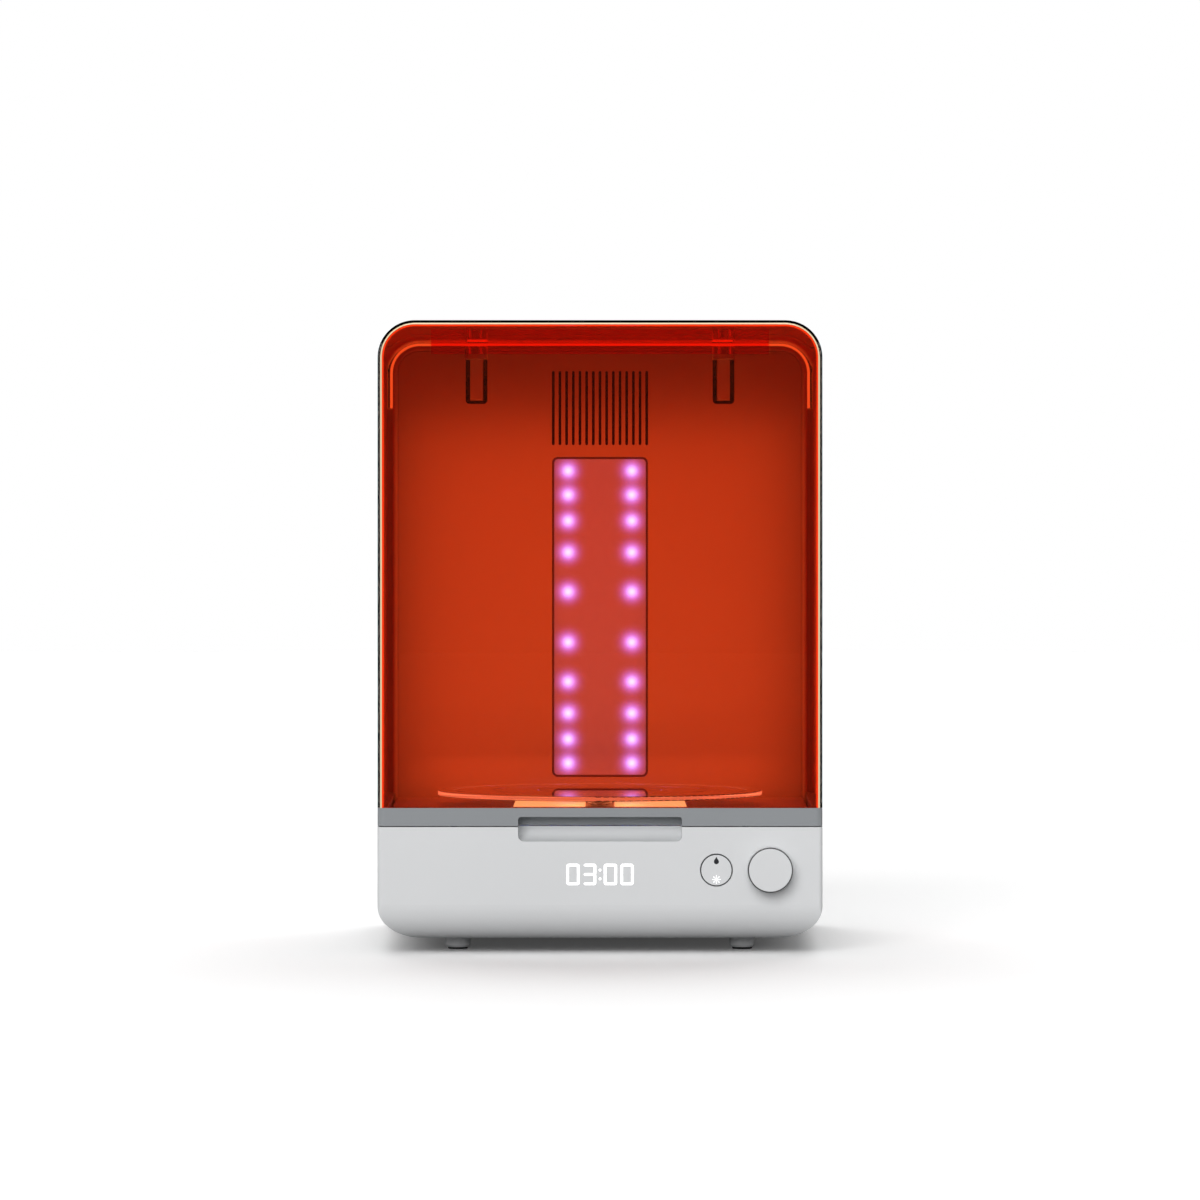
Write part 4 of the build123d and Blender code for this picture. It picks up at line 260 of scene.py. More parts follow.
def clear_acrylic(name, colour, look, front):
    """Thick see-through acrylic, with painted highlights along its rounded front edges: an amber line and a
    pale line that glow without a lamp.
    """
    mat = Recipe(name)
    _, y, _ = mat.along()
    behind = y - front
    # Painted highlights: bands on the rounded front edges, just behind the flat front, glow amber nearer the
    # front and pale farther back.
    amber_highlight_band = behind.between(look.edge_start, look.edge_split)
    pale_highlight_band = behind.between(look.edge_split, look.edge_depth)
    glow = mat.blend(amber_highlight_band, mat.blend(pale_highlight_band, BLACK, look.painted_pale_highlight), look.painted_amber_highlight)
    cloud = mat.noise(per_metre=14.0)
    tint = mat.blend(cloud, lighter(colour, 0.97), lighter(colour, 1.03))
    solid = mat.surface(
        {
            "Base Color": tint,
            "Roughness": look.hood_roughness,
            "IOR": look.hood_ior,
            "Transmission Weight": 1.0,
            "Emission Color": glow,
            "Emission Strength": 1.0,
        }
    )
    once = tuple(look.hood_passes * part**0.5 for part in colour[:3])
    return mat.finished(mat.letting_light_pass(solid, once))


def clear_glass(name, colour, roughness, rim=None):
    """Clear glass with faint wipe marks.

    A rim is a centre, a radius, a colour and a strength: outside that radius the edge of a round plate glows,
    a painted highlight."""
    mat = Recipe(name)
    wipe = mat.noise(per_metre=30.0, detail=3.0)
    sockets = {
        "Base Color": mat.blend(wipe, lighter(colour, 0.98), colour),
        "Roughness": wipe * 0.02 + roughness,
        "IOR": 1.5,
        "Transmission Weight": 1.0,
    }
    # Painted highlight: the plate's edge glows without a lamp.
    if rim:
        centre, radius, light, strength = rim
        x, y, _ = mat.along()
        edge = beyond(x - centre.x, y - centre.y, radius)
        sockets["Emission Color"] = mat.blend(edge, BLACK, light)
        sockets["Emission Strength"] = strength
    return mat.finished(mat.letting_light_pass(mat.surface(sockets), lighter(colour, 0.98)))


def bright_metal(name, colour, roughness, along="x"):
    """Drawn or plated metal with fine lines along one axis."""
    mat = Recipe(name)
    stretch = {"x": (1, 60, 60), "y": (60, 1, 60), "z": (60, 60, 1)}[along]
    lines = mat.noise(per_metre=60.0, detail=4.0, place=mat.stretched(*stretch))
    cloud = mat.noise(per_metre=40.0, detail=3.0)
    return mat.finished(
        mat.surface(
            {
                "Base Color": mat.blend(cloud, lighter(colour, 0.9), lighter(colour, 1.05)),
                "Metallic": 1.0,
                "Roughness": lines * 0.16 + roughness,
                "Normal": mat.bump(lines, strength=0.3, depth=0.00003),
            }
        )
    )


def soft_rubber(name, colour):
    """Black rubber: dull, with dust in its fine pores."""
    mat = Recipe(name)
    pores = mat.noise(per_metre=1600.0, detail=4.0)
    dust = mat.noise(per_metre=120.0, detail=4.0)
    return mat.finished(
        mat.surface(
            {
                "Base Color": mat.blend(dust, colour, lighter(colour, 2.2)),
                "Roughness": dust * 0.12 + 0.78,
                "Normal": mat.bump(pores, strength=0.5, depth=0.00006),
            }
        )
    )


def woven_gauze(name, colour):
    """Fine black cloth: two sets of threads at right angles."""
    mat = Recipe(name)
    x, _, z = mat.along()
    weave = 9000.0
    threads = (x * weave).math("SINE").size() * (z * weave).math("SINE").size()
    return mat.finished(
        mat.surface(
            {
                "Base Color": mat.blend(threads, lighter(colour, 0.6), lighter(colour, 1.4)),
                "Roughness": 0.9,
                "Normal": mat.bump(threads, strength=0.5, depth=0.00005),
            }
        )
    )


def circuit_board(name, mask, copper):
    """Solder mask with lighter tracks of copper under it."""
    mat = Recipe(name)
    cells = mat.node(
        "TexVoronoi",
        {"feature": "DISTANCE_TO_EDGE", "distance": "CHEBYCHEV"},
        {"Vector": mat.place(), "Scale": 170.0},
    )
    half_track = 0.07
    tracks = 1.0 - mat.number(cells.outputs["Distance"]).over(half_track)
    return mat.finished(
        mat.surface(
            {
                "Base Color": mat.blend(tracks, mask, copper),
                "Roughness": tracks * 0.1 + 0.28,
                "Normal": mat.bump(tracks, strength=0.4, depth=0.00004),
            }
        )
    )


def lit(name, colour, strength):
    """Glowing surface with a slightly uneven light."""
    mat = Recipe(name)
    cloud = mat.noise(per_metre=400.0)
    tone = mat.blend(cloud, lighter(colour, 0.97), colour)
    return mat.finished(
        mat.surface(
            {
                "Base Color": lighter(colour, 0.8),
                "Roughness": cloud * 0.1 + 0.3,
                "Emission Color": tone,
                "Emission Strength": strength,
            }
        )
    )


def frosted_lamp_pane(name, look, lamps, low, high):
    """Frosted pane with a soft glow in front of each lamp behind it, and painted shade in a dark band round
    its edge for the shade of the recessed opening.
    """
    mat = Recipe(name)
    x, _, z = mat.along()
    inset = look.rim_lap + look.rim_round
    across = (x.size() - (high.x - low.x) / 2 + inset).at_least(0.0)
    upward = ((z - (low.z + high.z) / 2).size() - (high.z - low.z) / 2 + inset).at_least(0.0)
    # Painted shade: a dark band round the pane's edge, which also gives no light.
    rim = beyond(across, upward, look.rim_round - look.rim_shade_width)
    column = (x.size() - abs(lamps[0].x)) / look.glow_radius
    glow, core = 0.0, 0.0
    for height in sorted({round(lamp.z, 5) for lamp in lamps}):  # each height has one lamp per column
        row = (z - height) / look.glow_radius
        far = (column * column) + (row * row)
        glow = (far * -1.0).math("EXPONENT") + glow
        core = (far * -look.core_sharpness).math("EXPONENT") + core
    frost = mat.noise(per_metre=900.0)
    tint = mat.blend(frost, look.pane_colour, lighter(look.pane_colour, 1.05))
    haze = mat.blend(glow.clamped(), look.pane_haze, look.glow_colour)
    shine = mat.blend(core.clamped() * (1.0 - rim), mat.blend(rim, haze, BLACK), look.core_colour)
    return mat.finished(
        mat.surface(
            {
                "Base Color": mat.blend(rim, tint, look.rim_colour),
                "Roughness": frost * 0.1 + 0.32,
                "Emission Color": shine,
                "Emission Strength": look.pane_strength,
            }
        )
    )


# ---------------------------------------------------------------- pieces in mesh code


def solids_of(node):
    """Lowest and highest corner of each separate solid in a CAD node."""
    shape = bmesh.new()
    shape.from_mesh(NODES[node].data)
    bmesh.ops.remove_doubles(shape, verts=shape.verts, dist=1e-6)
    waiting = set(shape.verts)
    found = []
    while waiting:
        front = [waiting.pop()]
        members = []
        while front:
            vert = front.pop()
            members.append(vert.co.copy())
            for edge in vert.link_edges:
                other = edge.other_vert(vert)
                if other in waiting:
                    waiting.discard(other)
                    front.append(other)
        low = Vector(min(co[axis] for co in members) for axis in range(3))
        high = Vector(max(co[axis] for co in members) for axis in range(3))
        found.append((low, high))
    shape.free()
    return found


def finish(material, *nodes):
    """Gives CAD nodes one finish."""
    for node in nodes:
        mesh = NODES[node].data
        mesh.materials.clear()
        mesh.materials.append(material)


def prisms(name, outlines, y_front, y_back, material, body):
    """Flat pieces drawn in front view, from y_front back to y_back, as one object on a body."""
    shape = bmesh.new()
    for outline in outlines:
        front, back = ([shape.verts.new((x, y, z)) for x, z in outline] for y in (y_front, y_back))
        shape.faces.new(front)
        shape.faces.new(list(reversed(back)))
        for corners in zip(back, back[1:] + back[:1], front[1:] + front[:1], front):
            shape.faces.new(corners)
    bmesh.ops.recalc_face_normals(shape, faces=shape.faces)
    mesh = bpy.data.meshes.new(name)
    shape.to_mesh(mesh)
    shape.free()
    mesh.materials.append(material)
    piece = bpy.data.objects.new(name, mesh)
    bpy.context.scene.collection.objects.link(piece)
    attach(piece, body)


def bar_outline(x, z, length, width, upright):
    """Display segment centred at x, z: a bar with pointed ends."""
    end, side = length / 2, width / 2
    inner = end - side
    points = [(-end, 0), (-inner, side), (inner, side), (end, 0), (inner, -side), (-inner, -side)]
    if upright:
        return [(x + across, z + along) for along, across in points]
    return [(x + along, z + across) for along, across in points]


SEGMENTS = {"0": "abcdef", "3": "abcdg"}


def digit_outlines(digit, x, z, look):
    """Outlines of the lit segments of one digit whose middle is at x, z."""
    reach = (look.digit_width - look.stroke) / 2
    rise = (look.digit_height - look.stroke) / 2
    gap = look.segment_gap
    bars = {
        "a": (0, rise, False),
        "g": (0, 0, False),
        "d": (0, -rise, False),
        "b": (reach, rise / 2, True),
        "c": (reach, -rise / 2, True),
        "e": (-reach, -rise / 2, True),
        "f": (-reach, rise / 2, True),
    }
    outlines = []
    for key in SEGMENTS[digit]:
        right, up, upright = bars[key]
        span = (rise if upright else 2 * reach) + look.stroke * look.point_share - gap
        outlines.append(bar_outline(x + right, z + up, span, look.stroke, upright))
    return outlines


def whole_turn(count):
    """Evenly spaced angles once round."""
    return [2 * pi * step / count for step in range(count)]


def circle_outline(x, z, radius, count=24):
    """Round outline in front view."""
    return [(x + radius * cos(turn), z + radius * sin(turn)) for turn in whole_turn(count)]


def drop_outline(x, z, radius, height, count=20):
    """Falling drop: round below, drawn to a point above."""
    start = radians(-32)
    sweep = pi - 2 * start
    turns = [start + sweep * step / count for step in range(count + 1)]
    outline = [(x + radius * cos(-turn), z + radius * sin(-turn)) for turn in turns]
    return outline + [(x, z + height)]


def lamp(kind, name, power, turn, place=(0.0, 0.0, 0.0), size=None, hidden=()):
    """Lamp of a kind, turned and placed; the rays that are named as hidden don't see it."""
    light = bpy.data.lights.new(name, kind)
    light.energy = power
    if size:
        light.shape = "RECTANGLE"
        light.size, light.size_y = size
    piece = bpy.data.objects.new(name, light)
    piece.location = place
    piece.rotation_euler = turn
    for ray in hidden:
        setattr(piece, "visible_" + ray, False)
    bpy.context.scene.collection.objects.link(piece)
    return light


def aimed(away):
    """Turn with which a lamp shines against a direction."""
    return Vector(away).to_track_quat("Z", "Y").to_euler()


# ---------------------------------------------------------------- sizes and colours


def length(name, about, default):
    """Length setting, in metres."""
    return bpy.props.FloatProperty(name=name, description=about, default=default, unit="LENGTH", precision=5)


def share(name, about, default, most=1.0):
    """Plain number setting."""
    return bpy.props.FloatProperty(name=name, description=about, default=default, min=0.0, soft_max=most)


def power(name, about, default):
    """Lamp power setting, in watts."""
    return bpy.props.FloatProperty(name=name, description=about, default=default, min=0.0, unit="POWER")


def optics(name, about, default):
    """Camera setting, in millimetres."""
    return bpy.props.FloatProperty(name=name, description=about, default=default, min=1.0, unit="CAMERA")


def colour(name, about, default):
    """Colour setting, in linear red, green and blue."""
    return bpy.props.FloatVectorProperty(
        name=name, description=about, default=default, subtype="COLOR", size=3, min=0.0, soft_max=1.0
    )


class CoverLook(bpy.types.PropertyGroup):
    """Covers, rail and feet."""

    cover_colour: colour("Cover", "Pale grey of the base, housing, button and knob", (0.735, 0.745, 0.755))
    rail_colour: colour("Rail", "Grey of the hood's rail and the feet", (0.30, 0.315, 0.33))
    liner_colour: colour("Liner", "Light grey of the chamber's walls and floor", (0.56, 0.56, 0.555))
    cover_roughness: share("Cover roughness", "How dull the covers are", 0.42)
    rail_roughness: share("Rail roughness", "How dull the rail is", 0.38)
    liner_roughness: share("Liner roughness", "How dull the chamber's walls and floor are", 0.34)
    grain: length("Grain depth", "Depth of the moulded grain", 0.00002)
    # Painted shade: the inside of the rear housing is painted near black, for the shade that fills it behind
    # the hinge slots.
    lining_shade_colour: colour("Lining", "Black light trap paint inside the rear housing", (0.02, 0.02, 0.021))
    lining_skin: length("Lining skin", "Depth of the housing's wall that keeps its own colour", 0.0016)
    lining_to_side: length("Lining to side", "Housing's side to the edge of the paint", 0.024)
    housing_round: length("Housing round", "Round along the housing's top rear edge", 0.012)
    # Painted shade: a dark ring round the button's and the knob's faces, for the shade of their edges and the
    # gap round them.
    ring_shade_colour: colour("Edge ring", "Dark grey edge round the button and the knob", (0.07, 0.072, 0.076))
    ring_depth: length("Ring depth", "How far back the dark edge reaches", 0.0015)
    button_face: length("Button face", "Radius of the button's pale face", 0.009)
    knob_face: length("Knob face", "Radius of the knob's pale face", 0.0127)


class HoodLook(bpy.types.PropertyGroup):
    """Amber acrylic."""

    hood_colour: colour("Amber", "Tint of light that has passed through one wall", (0.94, 0.073, 0.0122))
    hood_passes: share("Passes", "Share of the room's light that each face lets into the chamber", 0.1)
    # Painted highlights on the hood's rounded front edges: their two colours, and the depths of their bands
    # behind the flat front.
    painted_pale_highlight: colour("Edge light", "Pale light along the outside of the front edge", (0.85, 0.66, 0.42))
    painted_amber_highlight: colour("Edge tint", "Amber light along the inside of the front edge", (0.42, 0.02, 0.001))
    edge_start: length("Edge start", "Depth at which the edge's light starts, behind the flat front", 0.00002)
    edge_split: length("Edge split", "Depth at which the amber light gives way to the pale one", 0.00026)
    edge_depth: length("Edge depth", "Depth at which the edge's light ends", 0.00075)
    hood_roughness: share("Roughness", "How hazy the acrylic is", 0.0)
    hood_ior: share("Refractive index", "How strongly the acrylic bends light", 1.49, 2.0)


class LampLook(bpy.types.PropertyGroup):
    """Lamp window, floor panes and lamp chips."""

    glow_radius: length("Glow radius", "Reach of the glow in front of one lamp", 0.0051)
    core_sharpness: share("Core sharpness", "How much smaller the bright core is", 4.0, 10.0)
    pane_colour: colour("Pane", "Frosted pane without its light", (0.58, 0.62, 0.70))
    # Window rim: a dark band of painted shade round the pane, standing for the shade of the recessed opening.
    rim_colour: colour("Window rim", "Dark print round the lamp window", (0.16, 0.13, 0.14))
    rim_round: length("Rim round", "Corner radius of the window's opening", 0.0038)
    rim_lap: length("Rim lap", "How far the pane reaches behind the wall", 0.0034)
    rim_shade_width: length("Rim width", "Width of the print that shows in the opening", 0.0014)
    pane_haze: colour("Haze", "Faint light between the lamps", (0.0, 0.0008, 0.010))
    glow_colour: colour("Glow", "Violet light around a lamp", (0.0044, 0.025, 0.69))
    core_colour: colour("Core", "Light right in front of a lamp", (0.0044, 0.075, 1.0))
    pane_strength: share("Glow strength", "Brightness of the pane's light", 160.0, 300.0)
    chamber_light: power("Chamber light", "Glow on the back wall", 0.163)
    floor_power: power("Floor light", "Light from one floor pane", 0.08)
    chamber_tint: colour("Chamber tint", "Colour of the chamber's light", (0.95, 0.97, 1.0))
    floor_pane_colour: colour("Floor pane", "Colour of the lit floor panes", (0.12, 0.5, 1.0))
    floor_glow: power("Floor glow", "Glow on the chamber's floor", 0.085)
    glow_gap: length("Glow gap", "How far the glow stands off the wall and the floor", 0.028)
    glow_height: length("Glow height", "Middle height of the glow on the back wall", 0.2065)
    table_axis: length("Turntable axis", "Place of the turntable's axis, front to rear", -0.014)
    pane_middle: length("Pane middle", "Middle of a floor pane to the turntable's axis", 0.031)
    pane_gap: length("Pane gap", "Height of a pane's light above the chamber's floor", 0.003)
    # Painted highlight on the turntable's edge: its colour, brightness and depth.
    painted_glass_edge_light: colour("Glass rim", "Light that leaves the turntable's edge", (0.07, 0.16, 0.4))
    painted_glass_edge_strength: share("Glass rim light", "Brightness of the turntable's edge", 10.0, 50.0)
    glass_rim_skin: length("Glass rim skin", "Depth of the edge that glows", 0.0003)
    glass_colour: colour("Turntable glass", "Faint green of the turntable's glass", (0.94, 0.97, 0.96))
    floor_pane_strength: share("Floor pane light", "Brightness of the lit floor panes", 10.0, 50.0)


class TimerLook(bpy.types.PropertyGroup):
    """Timer digits and button signs."""

    digit_width: length("Digit width", "Outside width of one digit", 0.0079)
    digit_height: length("Digit height", "Outside height of one digit", 0.0127)
    digit_pitch: length("Digit pitch", "Middle to middle of two neighbouring digits", 0.0099)
    pair_offset: length("Pair offset", "Middle of a pair of digits to the colon", 0.01115)
    stroke: length("Stroke", "Width of a lit segment", 0.00155)
    point_share: share("Point share", "Share of the stroke by which a segment's points reach on", 0.9)
    segment_gap: length("Segment gap", "Gap between segments", 0.0005)
    colon_gap: length("Colon gap", "Middle of a colon dot to the timer's middle height", 0.0026)
    digit_proud: length("Digits proud", "How far the digits stand out of the front", 0.00004)
    digit_deep: length("Digits deep", "How far the digits reach into the front", 0.0002)
    digit_strength: share("Digit light", "Brightness of the digits", 1.0, 10.0)
    sign_rise: length("Sign rise", "How far a sign stands above or below the button's middle", 0.0056)
    sign_proud: length("Signs proud", "How far the signs stand out of the button", 0.00003)
    sign_deep: length("Signs deep", "How far the signs reach into the button", 0.0001)
    drop_sink: length("Drop sink", "How far the drop's round part lies below the sign's middle", 0.0006)
    drop_radius: length("Drop radius", "Radius of the drop's round part", 0.0015)
    drop_height: length("Drop height", "Middle of the round part to the drop's point", 0.0029)
    sun_radius: length("Sun radius", "Radius of the sun's disc", 0.0009)
    ray_reach: length("Ray reach", "Middle of the sun to the middle of a ray", 0.0019)
    ray_length: length("Ray length", "Length of one ray of the sun", 0.0014)
    ray_width: length("Ray width", "Width of one ray of the sun", 0.0004)


class WorksLook(bpy.types.PropertyGroup):
    """Parts inside the covers."""

    gauze_radius: length("Gauze radius", "Radius of the dust gauze behind the fan", 0.029)
    gauze_gap: length("Gauze gap", "Gauze thickness, and its distance from the fan", 0.0003)


class StageLook(bpy.types.PropertyGroup):
    """Floor, lights and camera."""

    camera_back: length("Camera distance", "Camera to the front face", 3.1)
    camera_height: length("Camera height", "Height of the camera above the floor", 0.2267)
    lens: optics("Lens", "Focal length of the camera", 156.2)
    sensor: optics("Sensor", "Width of the camera's sensor", 36.0)
    shift: bpy.props.FloatProperty(name="Shift", description="Upward shift of the frame", default=-0.0217)
    sky: share("Sky", "Level of the light that comes from all around", 0.36)
    sky_through: share("Sky through the hood", "Level of that light once clear parts have let it in", 0.05)
    mirrored_sky: share("Mirrored sky", "Level of that light in reflections", 0.02)
    front_light: share("Front light", "Strength of the soft light from the front", 2.0, 5.0)
    overhead_light: share("Overhead light", "Strength of the soft light from above", 1.5, 5.0)
    side_panel: share("Side panels", "Brightness of the two panels that show as highlights", 6.0, 30.0)
    top_panel: share("Top panel", "Brightness of the upper panel that shows as a highlight", 4.0, 30.0)
    panel_aim: length("Panel aim", "Height at which the panels are aimed", 0.2)
    floor_own: share("Floor light", "Own light of the floor, which softens the shadow", 0.05)
    floor_bounce: share("Floor bounce", "How much light the floor throws back up", 0.4)
    floor_white: share("Floor", "How pale the floor is where no shadow falls", 1.04, 3.0)


class UnitLook(bpy.types.PropertyGroup):
    """All settings of the unit."""

    cover: bpy.props.PointerProperty(type=CoverLook)
    hood: bpy.props.PointerProperty(type=HoodLook)
    lamps: bpy.props.PointerProperty(type=LampLook)
    timer: bpy.props.PointerProperty(type=TimerLook)
    works: bpy.props.PointerProperty(type=WorksLook)
    stage: bpy.props.PointerProperty(type=StageLook)


# ---------------------------------------------------------------- operators


class CURING_OT_covers(bpy.types.Operator):
    """Base, feet, rear housing, button and knob in pale satin plastic, rail in grey"""

    bl_idname = "curing.covers"
    bl_label = "Covers"

    def execute(self, context):
        look = context.scene.curing_unit.cover
        skin = (look.cover_colour, look.cover_roughness, look.grain)
        pale = moulded_plastic("pale_satin_plastic", *skin)
        grey = moulded_plastic("grey_satin_plastic", look.rail_colour, look.rail_roughness, look.grain)
        finish(pale, "base_shell", "feet")
        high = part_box("rear_housing")[1]
        # Painted shade inside the rear housing, so the hinge slots in the back wall read dark.
        side, curve = look.lining_to_side, look.housing_round
        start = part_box("back_wall")[0].y + 2 * look.lining_skin
        centre = (high.y - curve, high.z - curve)
        lining = (look.lining_shade_colour, high.x - side, start, *centre, curve - look.lining_skin)
        finish(moulded_plastic("pale_satin_plastic_painted_shade_inside", *skin, lining=lining), "rear_housing")
        for node, radius in (("button_cap", look.button_face), ("knob_cap", look.knob_face)):
            low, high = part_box(node)
            middle = ((low.x + high.x) / 2, (low.z + high.z) / 2)
            # Painted shade round the face of the button and of the knob.
            ring = (look.ring_shade_colour, middle, radius, low.y + look.ring_depth)
            finish(moulded_plastic(f"pale_{node}_with_painted_edge_shade", *skin, ring=ring), node)
        finish(grey, "hood_rail")
        return {"FINISHED"}


class CURING_OT_liner(bpy.types.Operator):
    """Chamber walls, floor, hub and arms in light grey plastic that scatters the light"""

    bl_idname = "curing.liner"
    bl_label = "Chamber lining"

    def execute(self, context):
        look = context.scene.curing_unit.cover
        skin = (look.liner_colour, look.liner_roughness, look.grain)
        liner = moulded_plastic("light_grey_liner_plastic", *skin)
        finish(liner, "back_wall", "chamber_floor", "turntable_hub", "hinge_arms")
        return {"FINISHED"}


class CURING_OT_hood(bpy.types.Operator):
    """Hood and its hinge bar in amber acrylic"""

    bl_idname = "curing.hood"
    bl_label = "Amber hood"

    def execute(self, context):
        look = context.scene.curing_unit.hood
        amber = clear_acrylic("amber_acrylic", look.hood_colour, look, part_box("hood_shell")[0].y)
        finish(amber, "hood_shell", "hinge_bar")
        return {"FINISHED"}


class CURING_OT_turntable(bpy.types.Operator):
    """Clear glass turntable"""

    bl_idname = "curing.turntable"
    bl_label = "Turntable glass"

    def execute(self, context):
        look = context.scene.curing_unit.lamps
        low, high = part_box("turntable_glass")
        reach = high.x - look.glass_rim_skin
        # The glowing edge of the glass is a painted highlight.
        rim = ((low + high) / 2, reach, look.painted_glass_edge_light, look.painted_glass_edge_strength)
        finish(clear_glass("turntable_glass", look.glass_colour, 0.0, rim), "turntable_glass")
        return {"FINISHED"}


class CURING_OT_lamps(bpy.types.Operator):
    """Lit lamp window and floor panes, lamp chips, and the light they throw into the chamber"""

    bl_idname = "curing.lamps"
    bl_label = "Lamps"

    def execute(self, context):
        look = context.scene.curing_unit.lamps
        lamps = [(low + high) / 2 for low, high in solids_of("back_lamps")]
        pane = frosted_lamp_pane("frosted_lamp_window", look, lamps, *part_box("lamp_window"))
        finish(pane, "lamp_window")
        finish(lit("lamp_chip", look.core_colour, look.pane_strength), "back_lamps", "floor_lamps")
        finish(lit("lit_floor_pane", look.floor_pane_colour, look.floor_pane_strength), "floor_panes")
        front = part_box("back_wall")[0].y - look.glow_gap
        middle, height = 0.0, look.glow_height
        axis = look.table_axis
        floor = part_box("chamber_floor")[1].z
        above, low = floor + look.glow_gap, floor + look.pane_gap
        hidden = ("camera", "glossy", "transmission")
        for name, power, tilt, place, size in (
            ("chamber_glow", look.chamber_light, 90, (middle, front, height), (0.25, 0.237)),
            ("floor_glow", look.floor_glow, 0, (middle, axis, above), (0.22, 0.2)),
            ("left_floor_light", look.floor_power, 180, (-look.pane_middle, axis, low), (0.04, 0.1)),
            ("right_floor_light", look.floor_power, 180, (look.pane_middle, axis, low), (0.04, 0.1)),
        ):
            light = lamp("AREA", name, power, (radians(tilt), 0, 0), place, size, hidden)
            light.color = look.chamber_tint
        return {"FINISHED"}


class CURING_OT_works(bpy.types.Operator):
    """Metalwork, electrics, rubber, black plastic and dust gauze inside the covers"""

    bl_idname = "curing.works"
    bl_label = "Works"

    def execute(self, context):
        look = context.scene.curing_unit.works
        zinc = bright_metal("zinc_plated_steel", (0.60, 0.60, 0.61), 0.24)
        blackened = bright_metal("blackened_steel", (0.04, 0.04, 0.044), 0.4)
        drawn = bright_metal("drawn_aluminium", (0.76, 0.77, 0.78), 0.22, "z")
        black = moulded_plastic("black_moulded_plastic", (0.014, 0.014, 0.015), 0.6, 0.00003)
        dark = moulded_plastic("dark_grey_moulded_plastic", (0.25, 0.255, 0.26), 0.5, 0.00003)
        green = circuit_board("green_circuit_board", (0.012, 0.10, 0.035), (0.05, 0.22, 0.08))
        finish(zinc, "base_screws", "motor_bracket", "turntable_motor", "drive_screws", "drive_shaft")
        finish(zinc, "lid_magnet", "arm_screws", "housing_screws", "wall_screws", "sink_screws", "fan_screws")
        finish(blackened, "hinge_brackets", "bracket_screws", "hinge_pins", "pin_clips")
        finish(zinc, "panel_screws", "encoder_nut", "encoder_shaft", "power_supply", "board_screws")
        finish(drawn, "heat_sink")
        finish(dark, "bottom_plate")
        # The air heater sits behind the vent slots; its black here is painted shade that keeps the slots
        # dark.
        finish(black, "arm_bushes", "air_duct", "fan_frame", "fan_rotor", "timer_block", "air_heater")
        finish(black, "button_switch", "encoder_body", "encoder_rotor", "power_inlet", "lid_sensor")
        finish(green, "floor_lamp_board", "lamp_board", "panel_board", "control_board")
        finish(soft_rubber("black_rubber", (0.02, 0.02, 0.021)), "foot_pads", "rail_bumpers", "window_seal")
        finish(clear_glass("smoked_timer_window", (0.3, 0.31, 0.33), 0.1), "timer_window")
        low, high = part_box("fan_frame")
        centre = ((low.x + high.x) / 2, (low.z + high.z) / 2)
        gauze = woven_gauze("black_dust_gauze", (0.012, 0.012, 0.013))
        cloth = circle_outline(*centre, look.gauze_radius, count=48)
        start = high.y + look.gauze_gap
        prisms("dust_gauze", [cloth], start, start + look.gauze_gap, gauze, "base")
        return {"FINISHED"}


class CURING_OT_timer(bpy.types.Operator):
    """Lit timer digits on the base's front"""

    bl_idname = "curing.timer"
    bl_label = "Timer digits"

    def execute(self, context):
        look = context.scene.curing_unit.timer
        low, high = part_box("timer_window")
        middle = (low.z + high.z) / 2
        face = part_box("base_shell")[0].y
        outlines = []
        for place, digit in zip((-1.5, -0.5, 0.5, 1.5), "0300"):
            side = -1 if place < 0 else 1
            x = side * look.pair_offset + (place - side) * look.digit_pitch
            outlines += digit_outlines(digit, x, middle, look)
        for side in (-1, 1):
            outlines.append(circle_outline(0, middle + side * look.colon_gap, look.stroke / 2))
        glow = lit("white_timer_light", WHITE, look.digit_strength)
        prisms("timer_digits", outlines, face - look.digit_proud, face + look.digit_deep, glow, "base")
        return {"FINISHED"}


class CURING_OT_signs(bpy.types.Operator):
    """Drop and sun signs on the mode button"""

    bl_idname = "curing.signs"
    bl_label = "Button signs"

    def execute(self, context):
        look = context.scene.curing_unit.timer
        low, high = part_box("button_cap")
        x, z, face = (low.x + high.x) / 2, (low.z + high.z) / 2, low.y
        depths = (face - look.sign_proud, face + look.sign_deep)
        dark = moulded_plastic("dark_sign_ink", (0.03, 0.03, 0.035), 0.5, 0.00001)
        # The sun sign is white ink drawn as a glowing surface: painted light, so it reads bright white.
        white = lit("white_ink_with_painted_glow", WHITE, look.digit_strength)
        drop_z = z + look.sign_rise - look.drop_sink
        drop = drop_outline(x, drop_z, look.drop_radius, look.drop_height)
        prisms("drop_sign", [drop], *depths, dark, "mode_button")
        sun_z = z - look.sign_rise
        outlines = [circle_outline(x, sun_z, look.sun_radius)]
        ray = bar_outline(look.ray_reach, 0, look.ray_length, look.ray_width, False)
        for turn in whole_turn(count=8):
            c, s = cos(turn), sin(turn)
            outlines.append([(x + out * c - side * s, sun_z + out * s + side * c) for out, side in ray])
        prisms("sun_sign", outlines, *depths, white, "mode_button")
        return {"FINISHED"}


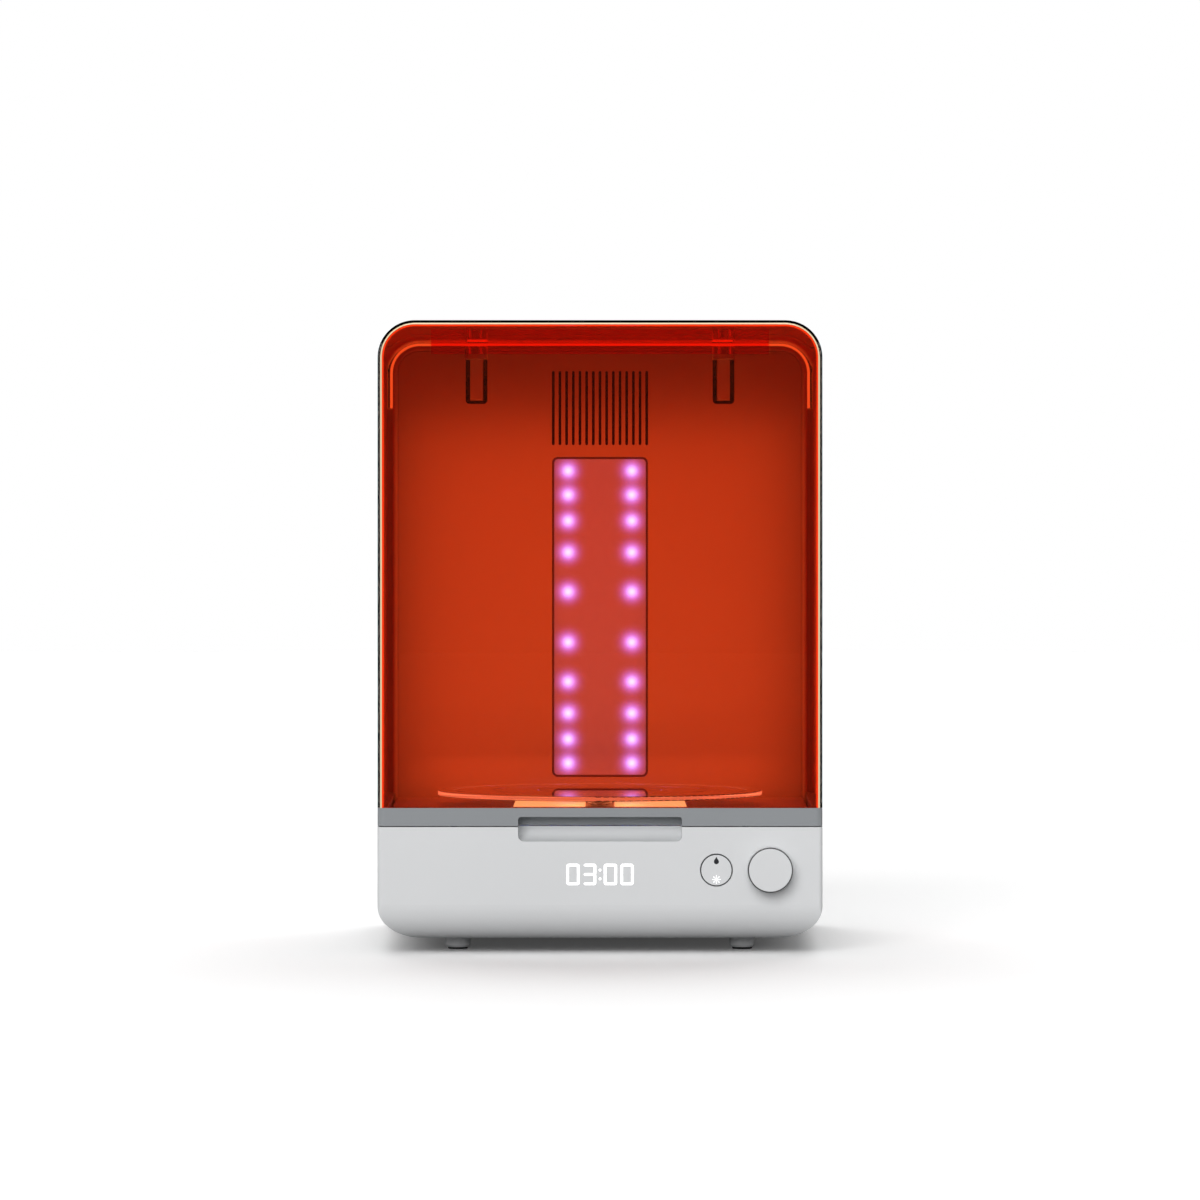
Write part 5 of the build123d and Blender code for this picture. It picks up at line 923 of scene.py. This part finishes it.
class CURING_OT_stage(bpy.types.Operator):
    """White floor, soft lights and camera"""

    bl_idname = "curing.stage"
    bl_label = "Studio"

    def execute(self, context):
        scene = context.scene
        look = scene.curing_unit.stage
        scene.view_settings.view_transform = "Standard"
        self.sky(scene, look)
        self.floor(scene, look)
        self.lights(scene, look)
        self.camera(scene, look)
        return {"FINISHED"}

    def sky(self, scene, look):
        """Even light all around; the camera sees it as white, and so do rays that have only
        passed through clear parts."""
        scene.world = bpy.data.worlds.new("studio")
        scene.world.use_nodes = True
        tree = scene.world.node_tree
        tree.nodes.clear()
        rays = tree.nodes.new("ShaderNodeLightPath")
        seen, through, mirrored, scatterings = (
            Value(tree, rays.outputs[kind])
            for kind in ("Is Camera Ray", "Is Transmission Ray", "Is Glossy Ray", "Diffuse Depth")
        )
        scattered = scatterings.over(0.5)
        plain = tree.nodes.new("ShaderNodeBackground")
        connect(tree, plain.inputs["Color"], WHITE)
        clear = 1.0 - scattered * (1.0 - look.sky_through)
        level = seen * (1.0 - look.sky) + look.sky + through * (clear - look.sky)
        level = level - mirrored * (1.0 - through) * (look.sky - look.mirrored_sky)
        connect(tree, plain.inputs["Strength"], level)
        output = tree.nodes.new("ShaderNodeOutputWorld")
        tree.links.new(plain.outputs[0], output.inputs["Surface"])

    def floor(self, scene, look):
        """Large pale floor that keeps the object's shadow, white wherever the sky is white."""
        mat = Recipe("studio_floor")
        own = mat.node("Emission", sockets={"Color": WHITE, "Strength": look.floor_own}).outputs[0]
        seen = mat.node("AddShader", sockets={0: mat.diffuse(look.floor_white), 1: own}).outputs[0]
        through = mat.ray("Is Transmission Ray")
        fresh = 1.0 - mat.ray("Diffuse Depth").over(0.5)
        straight = mat.ray("Is Camera Ray").at_least(through * fresh)
        glossy = mat.ray("Is Glossy Ray") * (1.0 - through)
        bounced, mirrored = mat.diffuse(look.floor_bounce), mat.diffuse(look.mirrored_sky)
        material = mat.finished(mat.mixed(straight, mat.mixed(glossy, bounced, mirrored), seen))
        shape = bmesh.new()
        bmesh.ops.create_circle(shape, cap_ends=True, segments=64, radius=12.0)
        mesh = bpy.data.meshes.new("studio_floor")
        shape.to_mesh(mesh)
        shape.free()
        mesh.materials.append(material)
        ground = bpy.data.objects.new("studio_floor", mesh)
        scene.collection.objects.link(ground)

    def lights(self, scene, look):
        """Soft lights from the front and above, and panels that show only as highlights."""
        for name, level, toward, angle in (
            ("front_light", look.front_light, (-0.2, -1.0, 0.42), 40),
            ("overhead_light", look.overhead_light, (0.0, 0.7, 1.0), 50),
        ):
            sun = lamp("SUN", name, level, aimed(toward), hidden=("glossy", "transmission"))
            sun.angle = radians(angle)
        unit_middle = Vector((0.0, 0.0, look.panel_aim))
        for name, level, place, (wide, tall) in (
            ("left_panel", look.side_panel, (-1.7, 0.2, 0.3), (0.25, 1.6)),
            ("right_panel", look.side_panel, (1.7, 0.2, 0.3), (0.25, 1.6)),
            ("top_panel", look.top_panel, (0.0, -1.0, 1.8), (1.2, 0.6)),
        ):
            watts = level * pi * wide * tall
            turn = aimed(Vector(place) - unit_middle)
            lamp("AREA", name, watts, turn, place, (wide, tall), hidden=("diffuse", "transmission"))

    def camera(self, scene, look):
        """Level camera straight in front."""
        lens = bpy.data.cameras.new("camera")
        lens.lens = look.lens
        lens.sensor_width = look.sensor
        lens.shift_y = look.shift
        lens.clip_start, lens.clip_end = 0.1, 50.0
        view = bpy.data.objects.new("camera", lens)
        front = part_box("base_shell")[0].y
        view.location = (0.0, front - look.camera_back, look.camera_height)
        view.rotation_euler = (radians(90), 0, 0)
        scene.collection.objects.link(view)
        scene.camera = view


class CURING_PT_panel(bpy.types.Panel):
    """The pieces and the studio, one button each"""

    bl_idname = "CURING_PT_panel"
    bl_label = "Curing unit"
    bl_space_type = "VIEW_3D"
    bl_region_type = "UI"
    bl_category = "Curing unit"

    def draw(self, context):
        for step in STEPS:
            self.layout.operator(step.bl_idname)


STEPS = (
    CURING_OT_covers,
    CURING_OT_liner,
    CURING_OT_hood,
    CURING_OT_turntable,
    CURING_OT_lamps,
    CURING_OT_works,
    CURING_OT_timer,
    CURING_OT_signs,
    CURING_OT_stage,
)
LOOKS = (CoverLook, HoodLook, LampLook, TimerLook, WorksLook, StageLook, UnitLook)


def register():
    """Adds the settings, the operators and the panel."""
    for item in (*LOOKS, *STEPS, CURING_PT_panel):
        bpy.utils.register_class(item)
    bpy.types.Scene.curing_unit = bpy.props.PointerProperty(type=UnitLook)


def unregister():
    """Takes them away again."""
    del bpy.types.Scene.curing_unit
    for item in reversed((*LOOKS, *STEPS, CURING_PT_panel)):
        bpy.utils.unregister_class(item)


def main():
    """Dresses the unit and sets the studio."""
    register()
    for step in STEPS:
        group, _, name = step.bl_idname.partition(".")
        getattr(getattr(bpy.ops, group), name)()


if __name__ == "__main__":
    main()
